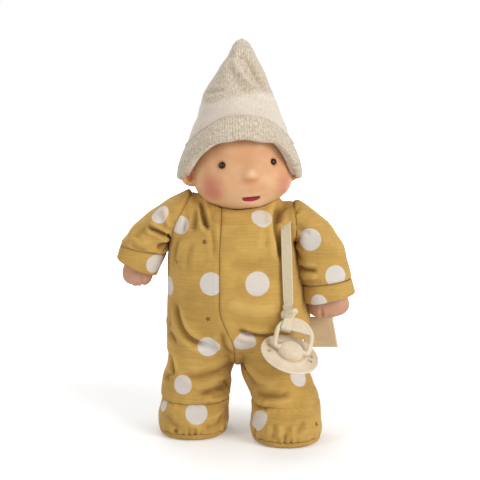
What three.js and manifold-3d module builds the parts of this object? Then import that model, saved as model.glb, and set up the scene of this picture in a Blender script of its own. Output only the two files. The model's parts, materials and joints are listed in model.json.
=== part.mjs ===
// Soft-bodied doll in a footed romper, with a knit hat and a pacifier on a ribbon.
// Millimetres, +Z up, the doll faces -Y, and its own right side is -X.

import * as THREE from 'three';
import { mergeVertices } from 'three/addons/utils/BufferGeometryUtils.js';
import Module from 'manifold-3d';

const wasm = await Module();
wasm.setup();

// Cloth, seams and running gaps
const gap = 0.3;
const linen = 1.3;
const knit = 3;
const wall = 3.2;
const hipGap = 0.8;
const headGap = 3;

// Body and legs
const hipHeight = 54;
const thighRadius = 27;
const torsoHeight = 133;
const bellyWidth = 103;
const bellyDepth = 74;
const legWidth = 51;
const ankleHeight = 28;
const footLength = 64;
const footWidth = 54;
const soleThickness = 3;
const legGap = 1.2;
const hipBendAngle = 60;
const neckRadius = 10.5;
const neckGap = 2.6;
const neckSink = 9;
const neckLength = 9;

// Head and face
const headWidth = 74;
const headDepth = 71;
const headHeight = 75;
const chinDrop = 3.7;
const headSide = 6;
const headTurn = 7;
const headRoll = 3.8;
const eyeSpacing = 40;
const eyeLevel = 32;
const eyeDiameter = 4.6;
const earHeight = 13;
const earReach = 7;
const earDepth = 4.5;
const earPlace = -4;
const noseWidth = 10;

// Hat
const hatHeight = 107;
const hatWidth = 85;
const brimThickness = 4.6;
const brimRise = 51;
const hatLean = 12;

// Arms and hands
const handLength = 23;
const wristRadius = 6.5;
const wristInsert = 8;
const tieRadius = 0.7;
const tieWidth = 2 * tieRadius;

// Ribbon and pacifier
const ribbonWidth = 7.6;
const ribbonThickness = 1.1;
const ribbonLength = 61.5;
const ribbonX = 36.6;
const ribbonY = -20.3;
const ribbonDrift = 13.2;
const ribbonSway = 2.1;
const loopThickness = 1.6;
const loopWidth = 4;
const loopSide = 7.5;
const knotDiameter = 9.4;
const barRadius = 1.9;
const ringWidth = 30;
const ringReach = 24.4;
const plateRise = 15;
const plateThickness = 3;
const ringLean = 37;
const ringSide = 15.9;
const shieldDiameter = 44;
const shieldThickness = 2.6;
const shieldFacing = 22;
const buttonDiameter = 19;
const buttonHeight = 7.5;
const pinReach = 3;
const ventRadius = 2;
const nubRadius = 5;
const nubLength = 6;

// Woven label in the side seam
const labelWidth = 25;
const labelHeight = 24.5;
const labelThickness = 1.4;

// Colours and finishes
const finish = {
  linen: { color: 0xc59a45, roughness: 0.9, metalness: 0 },
  binding: { color: 0xb98f3c, roughness: 0.9, metalness: 0 },
  vinyl: { color: 0xe0ae82, roughness: 0.5, metalness: 0 },
  bead: { color: 0x120d0b, roughness: 0.1, metalness: 0 },
  knit: { color: 0xd6cdbf, roughness: 1, metalness: 0 },
  stuffing: { color: 0xe8e0d2, roughness: 1, metalness: 0 },
  thread: { color: 0xd9cfbe, roughness: 0.8, metalness: 0 },
  ribbon: { color: 0xd8cdb0, roughness: 0.8, metalness: 0 },
  plastic: { color: 0xe6d6bd, roughness: 0.35, metalness: 0 },
  label: { color: 0xd6c6a6, roughness: 0.9, metalness: 0 },
  tape: { color: 0xcfc4ae, roughness: 1, metalness: 0 },
};

const ringPoints = 18;
const rad = THREE.MathUtils.degToRad;
const vector = (x, y, z) => new THREE.Vector3(x, y, z);

// Solids: joining, cutting and going back to a geometry
function solidOf(geometry) {
  const bare = geometry.clone();
  bare.deleteAttribute('normal');
  bare.deleteAttribute('uv');
  const merged = mergeVertices(bare, 1e-4);
  const mesh = new wasm.Mesh({
    numProp: 3,
    vertProperties: new Float32Array(merged.attributes.position.array),
    triVerts: new Uint32Array(merged.index.array),
  });
  return new wasm.Manifold(mesh);
}

function geometryOf(solid) {
  const mesh = solid.getMesh();
  const geometry = new THREE.BufferGeometry();
  geometry.setAttribute('position', new THREE.BufferAttribute(new Float32Array(mesh.vertProperties), 3));
  geometry.setIndex(new THREE.BufferAttribute(new Uint32Array(mesh.triVerts), 1));
  geometry.computeVertexNormals();
  return geometry;
}

// A closed body through rings of points, with a flat fan over each end
function loft(rings) {
  const count = rings[0].length;
  const points = rings.flat();
  const middle = (ring) => ring.reduce((sum, p) => sum.add(p), vector(0, 0, 0)).divideScalar(count);
  points.push(middle(rings[0]), middle(rings[rings.length - 1]));
  const index = [];
  for (let row = 0; row + 1 < rings.length; row += 1) {
    for (let i = 0; i < count; i += 1) {
      const a = row * count + i;
      const b = row * count + (i + 1) % count;
      index.push(a, b, b + count, a, b + count, a + count);
    }
  }
  const last = (rings.length - 1) * count;
  for (let i = 0; i < count; i += 1) {
    const next = (i + 1) % count;
    index.push(next, i, points.length - 2);
    index.push(last + i, last + next, points.length - 1);
  }
  const geometry = new THREE.BufferGeometry();
  geometry.setAttribute('position', new THREE.Float32BufferAttribute(points.flatMap((p) => p.toArray()), 3));
  geometry.setIndex(index);
  return solidOf(geometry);
}

// One cross-section: a centre, half-widths to each side, a half-depth along Y and a lean about Y
function section(x, y, z, less, more, depth, lean = 0, power = 2.3) {
  return { centre: vector(x, y, z), less, more, depth, lean, power };
}

function ringOf(s) {
  const across = vector(Math.cos(s.lean), 0, Math.sin(s.lean));
  const points = [];
  for (let i = 0; i < ringPoints; i += 1) {
    const angle = (i / ringPoints) * Math.PI * 2;
    const c = Math.cos(angle);
    const d = Math.sin(angle);
    const u = Math.sign(c) * Math.abs(c) ** (2 / s.power) * (c > 0 ? s.more : s.less);
    const v = Math.sign(d) * Math.abs(d) ** (2 / s.power) * s.depth;
    points.push(s.centre.clone().addScaledVector(across, u).add(vector(0, v, 0)));
  }
  return points;
}

// The same section moved along its own normal
function pushed(s, distance) {
  const along = vector(-Math.sin(s.lean), 0, Math.cos(s.lean));
  return { ...s, centre: s.centre.clone().addScaledVector(along, distance) };
}

function narrowed(s, inset) {
  return { ...s, less: s.less - inset, more: s.more - inset, depth: s.depth - inset };
}

// The same form drawn in by an inset. An end is lengthened by a straight stretch, or drawn back
function form(sections, inset = 0, startPush = 0, endPush = 0) {
  const list = sections.map((s) => narrowed(s, inset));
  const end = list.length - 1;
  if (startPush < 0) list[0] = pushed(list[0], -startPush);
  if (endPush < 0) list[end] = pushed(list[end], endPush);
  if (endPush > 0) list.push(pushed(list[end], endPush));
  if (startPush > 0) list.unshift(pushed(list[0], -startPush));
  return loft(list.map(ringOf));
}

// A lathe about Z from [radius, height] pairs
function turned(profile, segments = ringPoints) {
  const points = profile.map(([radius, height]) => new THREE.Vector2(radius, height));
  return solidOf(new THREE.LatheGeometry(points, segments).rotateX(Math.PI / 2));
}

function block(width, depth, height, x, y, z) {
  return solidOf(new THREE.BoxGeometry(width, depth, height).translate(x, y, z));
}

// A prism along X over an outline in Y and Z
function prismAcross(outline, width, x) {
  const shape = new THREE.Shape(outline.map(([y, z]) => new THREE.Vector2(y, z)));
  const geometry = new THREE.ExtrudeGeometry(shape, { depth: width, bevelEnabled: false });
  const basis = new THREE.Matrix4().makeBasis(vector(0, 1, 0), vector(0, 0, 1), vector(1, 0, 0));
  geometry.applyMatrix4(basis).translate(x - width / 2, 0, 0);
  return solidOf(geometry);
}

function ball(rx, ry, rz, x, y, z) {
  return solidOf(new THREE.SphereGeometry(1, 12, 8).scale(rx, ry, rz).translate(x, y, z));
}

// A solid moved by a rotation and a place
function moved(solid, matrix) {
  return solidOf(geometryOf(solid).applyMatrix4(matrix));
}

function place(position, quaternion = new THREE.Quaternion()) {
  return new THREE.Matrix4().compose(position, quaternion, vector(1, 1, 1));
}

function piece(group, name, solid, kind) {
  const mesh = new THREE.Mesh(geometryOf(solid), new THREE.MeshStandardMaterial(finish[kind]));
  mesh.name = name;
  group.add(mesh);
  return mesh;
}

function groupAt(parent, x, y, z) {
  const group = new THREE.Group();
  group.position.set(x, y, z);
  parent.add(group);
  return group;
}

const doll = new THREE.Group();
const far = 200;

// Head: a hollow vinyl form of revolution, slightly deeper cheeks below, open at the neck
const headShape = [
  [0, 0.44], [0.055, 0.62], [0.1, 0.76], [0.155, 0.875], [0.22, 0.96], [0.3, 1], [0.41, 1],
  [0.5, 0.985], [0.61, 0.935], [0.74, 0.8], [0.87, 0.58], [0.955, 0.34], [1, 0.1],
];

function headForm(grow) {
  const width = headWidth / 2 + grow;
  const depth = headDepth / 2 + grow;
  const height = headHeight + 2 * grow;
  const rings = headShape.map(([h, r]) => {
    const level = h * height - chinDrop - grow;
    return section(0, 0, level, r * width, r * width, r * depth, 0, 2);
  });
  return form(rings);
}

// The room a turning, nodding head needs, straight below its widest ring when it is for the hat
function headRoom(grow, openBelow) {
  const top = headHeight + 2 * grow;
  const widest = 0.41;
  const rings = headShape.filter(([h]) => !openBelow || h >= widest);
  const profile = rings.map(([h, r]) => [r * (headWidth / 2 + grow), h * top - chinDrop - grow]);
  if (openBelow) profile.unshift([headWidth / 2 + grow, -far]);
  const first = profile[0];
  const last = profile[profile.length - 1];
  return turned([[0, first[1]], ...profile, [0, last[1]]], 32);
}

const headEuler = new THREE.Euler(0, -rad(headRoll), rad(headTurn), 'YXZ');
const headPose = new THREE.Quaternion().setFromEuler(headEuler);
const neckPivot = vector(headSide, 0, hipHeight + torsoHeight - neckSink);

const headGroup = groupAt(doll, neckPivot.x, neckPivot.y, neckPivot.z);
headGroup.quaternion.copy(headPose);

const neckOpening = neckRadius + neckGap;
const eyeRadius = eyeDiameter / 2;
const eyeSeat = -Math.sqrt(1 - (eyeSpacing / headWidth) ** 2) * (headDepth / 2) * 0.985 + eyeRadius * 0.25;
const earLevel = 0.27 * headHeight - chinDrop + 1.5;

function headShell() {
  let shell = headForm(0);
  shell = shell.add(ball(noseWidth / 2, 3.4, 4.2, 0, -headDepth / 2 + 1, 0.37 * headHeight - chinDrop));
  for (const side of [-1, 1]) {
    const earRoot = side * (headWidth / 2 - 1);
    shell = shell.add(ball(earReach, earDepth, earHeight / 2, earRoot, earPlace, earLevel));
  }
  shell = shell.subtract(headForm(-wall));
  shell = shell.subtract(turned([[0, -far], [neckOpening, -far], [neckOpening, wall], [0, wall]]));
  for (const side of [-1, 1]) {
    const socket = eyeRadius + gap;
    shell = shell.subtract(ball(socket, socket, socket, side * eyeSpacing / 2, eyeSeat, eyeLevel));
  }
  return shell;
}

piece(headGroup, 'head_shell', headShell(), 'vinyl');
for (const [name, side] of [['eye_right', -1], ['eye_left', 1]]) {
  const bead = ball(eyeRadius, eyeRadius, eyeRadius, side * eyeSpacing / 2, eyeSeat, eyeLevel);
  piece(headGroup, name, bead, 'bead');
}

// Hat: an upright knit cone whose tip leans back, and a turned-up brim round it
const hatGroup = groupAt(doll, neckPivot.x, neckPivot.y, neckPivot.z);
const hatBase = hipHeight + torsoHeight + 6 - neckPivot.z;
const hatShape = [
  [0, 1], [0.1, 0.985], [0.21, 0.95], [0.32, 0.88], [0.4, 0.8], [0.47, 0.715], [0.53, 0.68],
  [0.61, 0.625], [0.68, 0.535], [0.79, 0.385], [0.88, 0.25], [0.94, 0.17], [0.985, 0.1], [1, 0.035],
];
const hatMiddle = -3;

function hatForm(grow, share, endPush = 0) {
  const rings = hatShape.map(([h, r]) => {
    const lean = Math.max(0, h - 0.25) ** 1.6 * hatLean * 1.58;
    const x = hatMiddle + h * 1.5;
    const half = r * hatWidth / 2 + grow * (1 - share * h);
    return section(x, lean, hatBase + h * hatHeight, half, half, half, 0, 2.05);
  });
  return form(rings, 0, 0, endPush);
}

// Below the brim edge nothing is left: high over the forehead, low at the nape
function belowEdge() {
  const front = brimRise;
  const side = hatBase + 10;
  const nape = hatBase + 1;
  const outline = [[-90, front + 24], [-45, front], [-20, front - 15], [0, side], [10, side - 7.5],
    [22, nape], [90, nape], [90, -far], [-90, -far]];
  return prismAcross(outline, far, 0);
}

function aboveBrim() {
  const front = brimRise + 14;
  const outline = [[-90, front + 24], [-45, front + 4], [-28, front], [-5, front - 15], [10, front - 21],
    [30, front - 27], [90, front - 28], [90, far], [-90, far]];
  return prismAcross(outline, far, 0);
}

// The ears stay clear as the hat lifts off, so their room goes on below them
function earRoom(side) {
  const x = side * (headWidth / 2 - 1);
  const reach = earReach + 2 * gap;
  const depth = earDepth + 2 * gap;
  const column = form([section(x, earPlace, -far, reach, reach, depth, 0, 2),
    section(x, earPlace, earLevel, reach, reach, depth, 0, 2)]);
  return column.add(ball(reach, depth, earHeight / 2 + 2 * gap, x, earPlace, earLevel));
}

const headInHat = headRoom(gap * 2, true).add(earRoom(-1)).add(earRoom(1));
const hatHollow = moved(headInHat, place(vector(0, 0, 0), headPose));
const crownSkin = hatForm(0, 0);
const crownHollow = hatForm(-knit, 0.25, -knit);
const crown = crownSkin.subtract(crownHollow).subtract(hatHollow).subtract(belowEdge());
piece(hatGroup, 'hat_crown', crown, 'knit');
const brimBody = hatForm(brimThickness + gap, 0.4).subtract(hatForm(gap, 0)).subtract(hatHollow);
piece(hatGroup, 'hat_brim', brimBody.subtract(belowEdge()).subtract(aboveBrim()), 'knit');

// Torso: the romper body over a stuffed core, hollowed above for the head and below for the thighs
const torsoGroup = groupAt(doll, 0, 0, hipHeight);
const torsoShape = [
  [0.01, 0.89, 0.89, 0.73, 3], [0.075, 0.97, 0.97, 0.865, 1.5], [0.165, 1, 0.99, 0.96, 0],
  [0.285, 1, 0.945, 1, 0], [0.435, 1, 0.9, 1, 0], [0.57, 0.995, 0.873, 0.973, 0],
  [0.69, 0.97, 0.84, 0.93, 0], [0.795, 0.87, 0.8, 0.865, 0], [0.88, 0.76, 0.745, 0.785, 0],
  [0.945, 0.65, 0.66, 0.675, 0], [1, 0.5, 0.53, 0.57, 0],
];
const torsoSections = torsoShape.map(([h, right, left, d, y]) => {
  const half = bellyWidth / 2;
  return section(0, y, h * torsoHeight, right * half, left * half, d * bellyDepth / 2);
});

// Armholes: a round opening in a leaning plane on each side
const armholes = {
  right: {
    centre: vector(-0.806 * bellyWidth / 2, 0, 0.857 * torsoHeight),
    lean: rad(63.6),
    radius: 20.2,
    depth: 19,
  },
  left: {
    centre: vector(0.85 * bellyWidth / 2, -3, 0.827 * torsoHeight),
    lean: rad(-85),
    radius: 15.5,
    depth: 17,
  },
};

function outsideArmhole({ centre, lean }) {
  const size = 120;
  const spin = new THREE.Quaternion().setFromAxisAngle(vector(0, 1, 0), -lean);
  return moved(block(size, size, size, 0, 0, size / 2), place(centre, spin));
}

function thighRoom(grow) {
  const radius = thighRadius + grow;
  const outline = [];
  const frontAngle = 180 - (hipBendAngle - 18);
  for (let angle = 0; angle <= frontAngle; angle += frontAngle / 10) {
    outline.push([radius * Math.cos(rad(angle)), radius * Math.sin(rad(angle))]);
  }
  outline.push([-far, far * Math.tan(rad(180 - frontAngle))], [-far, -far], [far, -far], [far, 0]);
  return prismAcross(outline, far, 0);
}

const headInTorso = moved(
  headRoom(headGap, false),
  place(neckPivot.clone().sub(torsoGroup.position), headPose),
);

function torsoTrim(solid) {
  let trimmed = solid.subtract(thighRoom(hipGap)).subtract(headInTorso);
  for (const armhole of Object.values(armholes)) {
    trimmed = trimmed.subtract(outsideArmhole(armhole));
  }
  return trimmed;
}

// A short shoulder runs out to each armhole, so that the arm is sewn on all round
function rimOf({ centre, lean, radius, depth }, offset, shrink = 0) {
  const out = vector(-Math.sin(lean), 0, Math.cos(lean));
  const at = centre.clone().addScaledVector(out, offset);
  return section(at.x, at.y, at.z, radius - shrink, radius - shrink, depth - shrink, lean);
}

function torsoForm(inset, startPush = 0, endPush = 0) {
  let body = form(torsoSections, inset, startPush, endPush);
  for (const armhole of Object.values(armholes)) {
    const rows = [[-18, 4], [-6, 0], [6, 0]];
    body = body.add(form(rows.map(([offset, draw]) => rimOf(armhole, offset, inset + draw))));
  }
  return body;
}

const coreInset = linen + gap;
const closureHalf = 6;
const closureDepth = 3.4;
const closureLow = 0.4 * torsoHeight;
const closureHigh = 0.85 * torsoHeight;
const closureZone = (margin) => block(
  2 * (closureHalf + margin), far, closureHigh - closureLow + 2 * margin,
  0, far / 2, (closureHigh + closureLow) / 2,
);

const torsoCore = torsoTrim(torsoForm(coreInset, -coreInset, -coreInset));
const closurePocket = form(torsoSections, coreInset - gap, 0, 0)
  .subtract(form(torsoSections, coreInset + closureDepth, 0, 0))
  .intersect(closureZone(gap));
// The neck is a stuffed knob on a rounded seat: the head nods on it and is tied round it
const neckBall = neckRadius + 1;
const neckBowl = (radius) => [0, 0.4, 0.7, 0.9, 1].map((share) => {
  const r = share * neckRadius;
  return [r, -Math.sqrt(radius ** 2 - r ** 2)];
});
const knobRadius = neckRadius + 4;
const knobTop = neckLength + 8;
const neckStub = turned([
  ...neckBowl(neckBall), [neckRadius, neckLength - 4], [knobRadius, neckLength],
  [knobRadius, neckLength + 4], [knobRadius - 6, knobTop], [0, knobTop],
]);
const wellRadius = neckRadius + neckGap;
const neckWell = moved(
  turned([...neckBowl(neckBall + gap), [wellRadius, -4], [wellRadius, far], [0, far]]),
  place(neckPivot.clone().sub(torsoGroup.position), headPose),
);
piece(torsoGroup, 'torso_stuffed', torsoCore.subtract(closurePocket).subtract(neckWell), 'stuffing');

const neckGroup = groupAt(doll, neckPivot.x, neckPivot.y, neckPivot.z);
neckGroup.quaternion.copy(headPose);
piece(neckGroup, 'neck_stuffed', neckStub, 'stuffing');
const tieLow = -1.6;
const tieInner = neckRadius + gap;
const tieOuter = wellRadius - 2 * gap;
piece(neckGroup, 'neck_tie', turned([
  [tieInner, tieLow], [tieOuter, tieLow], [tieOuter, tieLow + tieWidth],
  [tieInner, tieLow + tieWidth], [tieInner, tieLow],
]), 'thread');

// Romper body in four panels, which meet at the centre front, the centre back and the sides
const seamY = 4;
const frontSeamX = -12;
const suitShell = torsoTrim(torsoForm(0).subtract(torsoForm(linen, 5, 5)))
  .subtract(neckWell);
const panels = [
  ['suit_front_right', frontSeamX - far / 2, seamY - far / 2],
  ['suit_front_left', frontSeamX + far / 2, seamY - far / 2],
  ['suit_back_right', -far / 2, seamY + far / 2],
  ['suit_back_left', far / 2, seamY + far / 2],
];
for (const [name, x, y] of panels) {
  const zone = block(far - gap, far - gap, 2 * far, x, y, 0);
  piece(torsoGroup, name, suitShell.intersect(zone), 'linen');
}

const tapeThickness = (closureDepth - 3 * gap) / 2;
const closureTapes = [
  ['closure_loop_tape', coreInset],
  ['closure_hook_tape', coreInset + tapeThickness + gap],
];
for (const [name, start] of closureTapes) {
  const tape = form(torsoSections, start + gap / 2, 0, 0)
    .subtract(form(torsoSections, start + tapeThickness, 0, 0))
    .intersect(closureZone(0));
  piece(torsoGroup, name, tape, 'tape');
}

// Legs: a stuffed leg and foot in a trouser leg, a foot upper and a sole
const sides = ['right', 'left'];
const legs = {
  right: {
    x: -27.3,
    shape: [[-0.2, -3, 1.005, -0.5], [-0.37, -4, 1.01, -1], [-0.48, -4.2, 1, -1.5]],
    foot: { x: -33.2, y: 0.5, lift: -31 },
  },
  left: {
    x: 28.4,
    shape: [[-0.2, 3.4, 1.01, -3], [-0.37, 7, 1.02, -7.5], [-0.48, 9.2, 1, -11.5]],
    foot: { x: 38.2, y: -17.5, lift: -12 },
  },
};

function legSections(side) {
  const leg = legs[side];
  const sign = side === 'left' ? 1 : -1;
  const half = legWidth / 2;
  const inner = sign * leg.x - legGap / 2;
  const rings = leg.shape.map(([h, x, w, y]) => (
    section(x, y, h * hipHeight, w * half, w * half, w * thighRadius)
  ));
  rings.reverse();
  for (const [share, width] of [[0, 1], [0.3, 0.98], [0.6, 0.9], [0.85, 0.74], [0.98, 0.5]]) {
    const depth = thighRadius * Math.sqrt(1 - share ** 2);
    const reach = Math.min(width * half, inner);
    rings.push(section(0, 0, share * thighRadius, reach, reach, depth));
  }
  return rings;
}

function atHeight(s, height) {
  return { ...s, centre: s.centre.clone().setZ(height) };
}

function footSections(side) {
  const leg = legs[side];
  const ankle = legSections(side)[0];
  const x = leg.foot.x - leg.x;
  const y = leg.foot.y;
  const w = footWidth / 2;
  const d = footLength / 2;
  const rise = ankleHeight - soleThickness;
  const low = soleThickness - hipHeight;
  const rows = [[0, 0.97, 0.97, 0], [0.14, 1, 1, 0], [0.4, 0.99, 0.985, 0.1], [0.68, 0.965, 0.93, 0.4]];
  const rings = rows.map(([h, a, b, share]) => {
    const across = THREE.MathUtils.lerp(x, ankle.centre.x, share);
    const along = THREE.MathUtils.lerp(y, ankle.centre.y, share);
    return section(across, along, low + h * rise, a * w, a * w, b * d);
  });
  rings.push(atHeight(ankle, ankleHeight - hipHeight));
  return rings;
}

for (const side of sides) {
  const leg = legs[side];
  const legGroup = groupAt(doll, leg.x, 0, hipHeight);
  const thigh = legSections(side);
  const foot = footSections(side);
  const seam = ankleHeight - hipHeight;
  const trouser = [atHeight(foot[foot.length - 1], seam + gap), ...thigh];
  const trouserTop = block(far, far, far, 0, 0, 0.76 * thighRadius + far / 2);
  const trouserShell = form(trouser).subtract(form(trouser, linen, 3, 0)).subtract(trouserTop);
  const upperShell = form(foot).subtract(form(foot, linen, 3, 3));
  const coreRings = [...foot.slice(0, -1), ...trouser];
  const soleRows = [[0, 4], [soleThickness / 2, 1], [soleThickness - gap, 0]];
  const sole = form(soleRows.map(([height, draw]) => narrowed(atHeight(foot[0], height - hipHeight), draw)));
  piece(legGroup, `leg_stuffed_${side}`, form(coreRings, coreInset, -gap, -coreInset), 'stuffing');
  piece(legGroup, `trouser_leg_${side}`, trouserShell, 'linen');
  piece(legGroup, `foot_upper_${side}`, upperShell, 'linen');
  piece(legGroup, `sole_${side}`, sole, 'linen');
}

// Arms: sections from the armhole, round the armpit and down to the cuff, from the photographed pose
const arms = {
  right: {
    path: [
      [-9, 0, -2.5, 15.9, 19, 82.7],
      [-16.4, 0, -8, 12.4, 18, 114],
      [-25.8, 0, -18.2, 14.9, 17.5, 161.4],
      [-28.7, 0, -25, 17.2, 17, 169],
      [-34.5, 0, -38.4, 15.9, 16, 154.2],
    ],
    wrist: vector(-31.8, 0, -31.5),
    hand: { lean: 8, width: 23.5, thickness: 17 },
  },
  left: {
    path: [
      [8.4, -1, -4.4, 13.8, 17.5, -109.3],
      [14.8, -2, -11.4, 14.6, 18, -142],
      [20.9, -4, -27.3, 18.4, 18.5, -168.4],
      [24.8, -6, -44.1, 18.5, 18, -171.2],
      [26.7, -7, -56.8, 18.7, 18, -168.7],
    ],
    wrist: vector(25.6, -6.5, -52),
    hand: { lean: -2, width: 27.5, thickness: 17 },
  },
};

const tapeWidth = 1.6;
const cuffGrow = 0.4;

function handSolid(width, thickness) {
  const palm = [[0, 0.62], [0.15, 0.78], [0.4, 0.97], [0.62, 1], [0.82, 0.85], [0.95, 0.5], [1, 0.15]];
  const rings = palm.map(([h, r]) => {
    const across = r * width / 2;
    return section(0, 0, h * handLength, across, across, r * thickness / 2, 0, 2.2);
  });
  const plug = turned([[0, -wristInsert], [wristRadius, -wristInsert], [wristRadius, 1], [0, 1]], 16);
  return form(rings).add(plug);
}

for (const side of sides) {
  const armhole = armholes[side];
  const arm = arms[side];
  const at = armhole.centre.clone().add(torsoGroup.position);
  const armGroup = groupAt(doll, at.x, at.y, at.z);
  const rim = (offset, shrink = 0) => rimOf({ ...armhole, centre: vector(0, 0, 0) }, offset, shrink);
  const rings = arm.path.map(([x, y, z, across, depth, lean]) => (
    section(x, y, z, across, across, depth, rad(lean))
  ));
  const tape = form([rim(gap), rim(gap + tapeWidth)]).subtract(form([rim(-5, 4), rim(9, 4)]));
  piece(armGroup, `armhole_tape_${side}`, tape, 'binding');

  const sleeveStart = rim(gap * 2 + tapeWidth);
  const sleeveRings = [sleeveStart, ...rings.slice(0, 4)];
  const sleeve = form(sleeveRings, 0, 0, -gap).subtract(form(sleeveRings, linen, 3, 3));
  piece(armGroup, `sleeve_${side}`, sleeve, 'linen');

  const cuffRings = rings.slice(3).map((s) => narrowed(s, -cuffGrow));
  const cuff = form(cuffRings).subtract(form(cuffRings, linen * 1.6, 3, 3));
  piece(armGroup, `cuff_${side}`, cuff, 'linen');

  const handSpin = new THREE.Quaternion().setFromAxisAngle(vector(0, 1, 0), Math.PI + rad(arm.hand.lean));
  const reach = vector(0, 0, 1).applyQuaternion(handSpin);
  const handPlace = place(arm.wrist, handSpin);
  const wristRing = (back, half) => {
    const centre = arm.wrist.clone().addScaledVector(reach, -back);
    return section(centre.x, centre.y, centre.z, half, half, half, Math.PI - rad(arm.hand.lean), 2);
  };
  const coreRings = [sleeveStart, ...rings.slice(0, 3)].map((s) => narrowed(s, coreInset));
  coreRings.push(wristRing(wristInsert, wristRadius + 5), wristRing(wristInsert / 2, wristRadius + 3));
  coreRings.push(wristRing(gap, wristRadius + 3));
  const boreRadius = wristRadius + gap;
  const boreEnd = -wristInsert - gap;
  const bore = turned([[0, boreEnd], [boreRadius, boreEnd], [boreRadius, 9], [0, 9]], 16);
  piece(armGroup, `arm_stuffed_${side}`, form(coreRings).subtract(moved(bore, handPlace)), 'stuffing');
  piece(armGroup, `hand_${side}`, moved(handSolid(arm.hand.width, arm.hand.thickness), handPlace), 'vinyl');

  const tie = new THREE.TorusGeometry(wristRadius + 3 + gap + tieRadius, tieRadius, 6, 16);
  tie.translate(0, 0, -wristInsert / 4);
  piece(armGroup, `wrist_tie_${side}`, moved(solidOf(tie), handPlace), 'thread');
}

// Ribbon, sewn in at the left armhole. The pacifier hangs from its knot and leans on the belly
const ribbonTop = vector(ribbonX, ribbonY, hipHeight + 0.857 * torsoHeight);
const ribbonGroup = groupAt(doll, ribbonTop.x, ribbonTop.y, ribbonTop.z);
const ringAxis = vector(Math.cos(rad(ringSide)), 0, -Math.sin(rad(ringSide)));

function frameAlong(axis, upish) {
  const x = axis.clone().normalize();
  const y = upish.clone().addScaledVector(x, -upish.dot(x)).normalize();
  const z = x.clone().cross(y);
  return new THREE.Quaternion().setFromRotationMatrix(new THREE.Matrix4().makeBasis(x, y, z));
}

const ringUp = vector(0, Math.sin(rad(ringLean)), Math.cos(rad(ringLean)));
const ringPose = frameAlong(ringAxis, ringUp);
const ringRadius = ringWidth / 2 - barRadius;
const archHeight = ringReach - ringRadius;
const pinStart = buttonDiameter / 2 - pinReach;
const knotRadius = knotDiameter / 2;
const knotHeight = knotRadius * 0.86;
const knotLow = vector(ribbonSway, -ribbonDrift, -ribbonLength - gap - 2 * knotHeight);
const outerRadius = ringWidth / 2;
const loopTop = archHeight + Math.sqrt(outerRadius ** 2 - loopSide ** 2);
const loopLong = (loopTop - plateRise) / 2 + 5 * gap + loopThickness / 2;
const loopShort = plateThickness / 2 + 5 * gap + loopThickness / 2;
const loopCentre = knotLow.clone().sub(vector(0, loopLong, 0).applyQuaternion(ringPose));
const loopFromPivot = vector(-loopSide, (loopTop + plateRise) / 2, 0);
const pivot = ribbonTop.clone().add(loopCentre).sub(loopFromPivot.applyQuaternion(ringPose));
const ringGroup = groupAt(doll, pivot.x, pivot.y, pivot.z);
ringGroup.quaternion.copy(ringPose);

function ringSolid() {
  const elbow = pinStart + pinReach + 1.2;
  const points = [vector(-pinStart, 0, 0), vector(-elbow, 0, 0)];
  for (let angle = 190; angle >= -10; angle -= 20) {
    const turn = rad(angle);
    points.push(vector(ringRadius * Math.cos(turn), archHeight + ringRadius * Math.sin(turn), 0));
  }
  points.push(vector(elbow, 0, 0), vector(pinStart, 0, 0));
  const curve = new THREE.CatmullRomCurve3(points, false, 'centripetal');
  const shape = new THREE.Shape().absarc(0, 0, barRadius, 0, Math.PI * 2);
  const options = { steps: 34, extrudePath: curve, curveSegments: 4, bevelEnabled: false };
  const bar = solidOf(new THREE.ExtrudeGeometry(shape, options));
  // The top is a broad flat crescent, straight along its lower edge
  const crescentRadius = outerRadius - gap;
  const edgeAngle = Math.asin((plateRise - archHeight) / crescentRadius);
  const crescent = new THREE.Shape().absarc(0, archHeight, crescentRadius, edgeAngle, Math.PI - edgeAngle);
  const plateOptions = { depth: plateThickness, curveSegments: 16, bevelEnabled: false };
  const plate = new THREE.ExtrudeGeometry(crescent, plateOptions).translate(0, 0, -plateThickness / 2);
  return bar.add(solidOf(plate));
}

piece(ringGroup, 'pacifier_ring', ringSolid(), 'plastic');

const shieldNormal = vector(0, -Math.sin(rad(shieldFacing)), Math.cos(rad(shieldFacing)));
const shieldPose = frameAlong(ringAxis, shieldNormal.clone());
const shieldGroup = groupAt(doll, pivot.x, pivot.y, pivot.z);
shieldGroup.quaternion.copy(shieldPose);
const pivotLift = barRadius + 1;
const half = shieldDiameter / 2;
const upright = new THREE.Quaternion().setFromAxisAngle(vector(1, 0, 0), -Math.PI / 2);

function shieldSolid() {
  const face = -pivotLift - gap;
  const back = face - shieldThickness;
  const plate = turned([[0, back], [half * 0.55, back], [half - 1, back + 1.1], [half, back + 2],
    [half - 0.8, face + 1.1], [half * 0.6, face], [0, face]], 28);
  let shield = plate;
  for (const side of [-1, 1]) {
    for (const shift of [-1, 1]) {
      const vent = new THREE.CylinderGeometry(ventRadius, ventRadius, 12, 12).rotateX(Math.PI / 2);
      vent.translate(side * half * 0.7, shift * (ventRadius + 1), face);
      shield = shield.subtract(solidOf(vent));
    }
  }
  return shield;
}

function buttonSolid() {
  const r = buttonDiameter / 2;
  const base = -pivotLift;
  const domeShape = [[0, 0], [1, 0], [1, 0.5], [0.9, 0.78], [0.6, 0.95], [0, 1]];
  let dome = turned(domeShape.map(([across, up]) => [across * r, base + up * buttonHeight]), 24);
  for (const side of [-1, 1]) {
    const room = barRadius + 2 * gap;
    const length = pinReach + 2 * gap + 4;
    const bore = new THREE.CylinderGeometry(room, room, length, 12).rotateZ(Math.PI / 2);
    bore.translate(side * (pinStart - 2 * gap + length / 2), 0, 0);
    dome = dome.subtract(solidOf(bore));
  }
  return dome;
}

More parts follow.
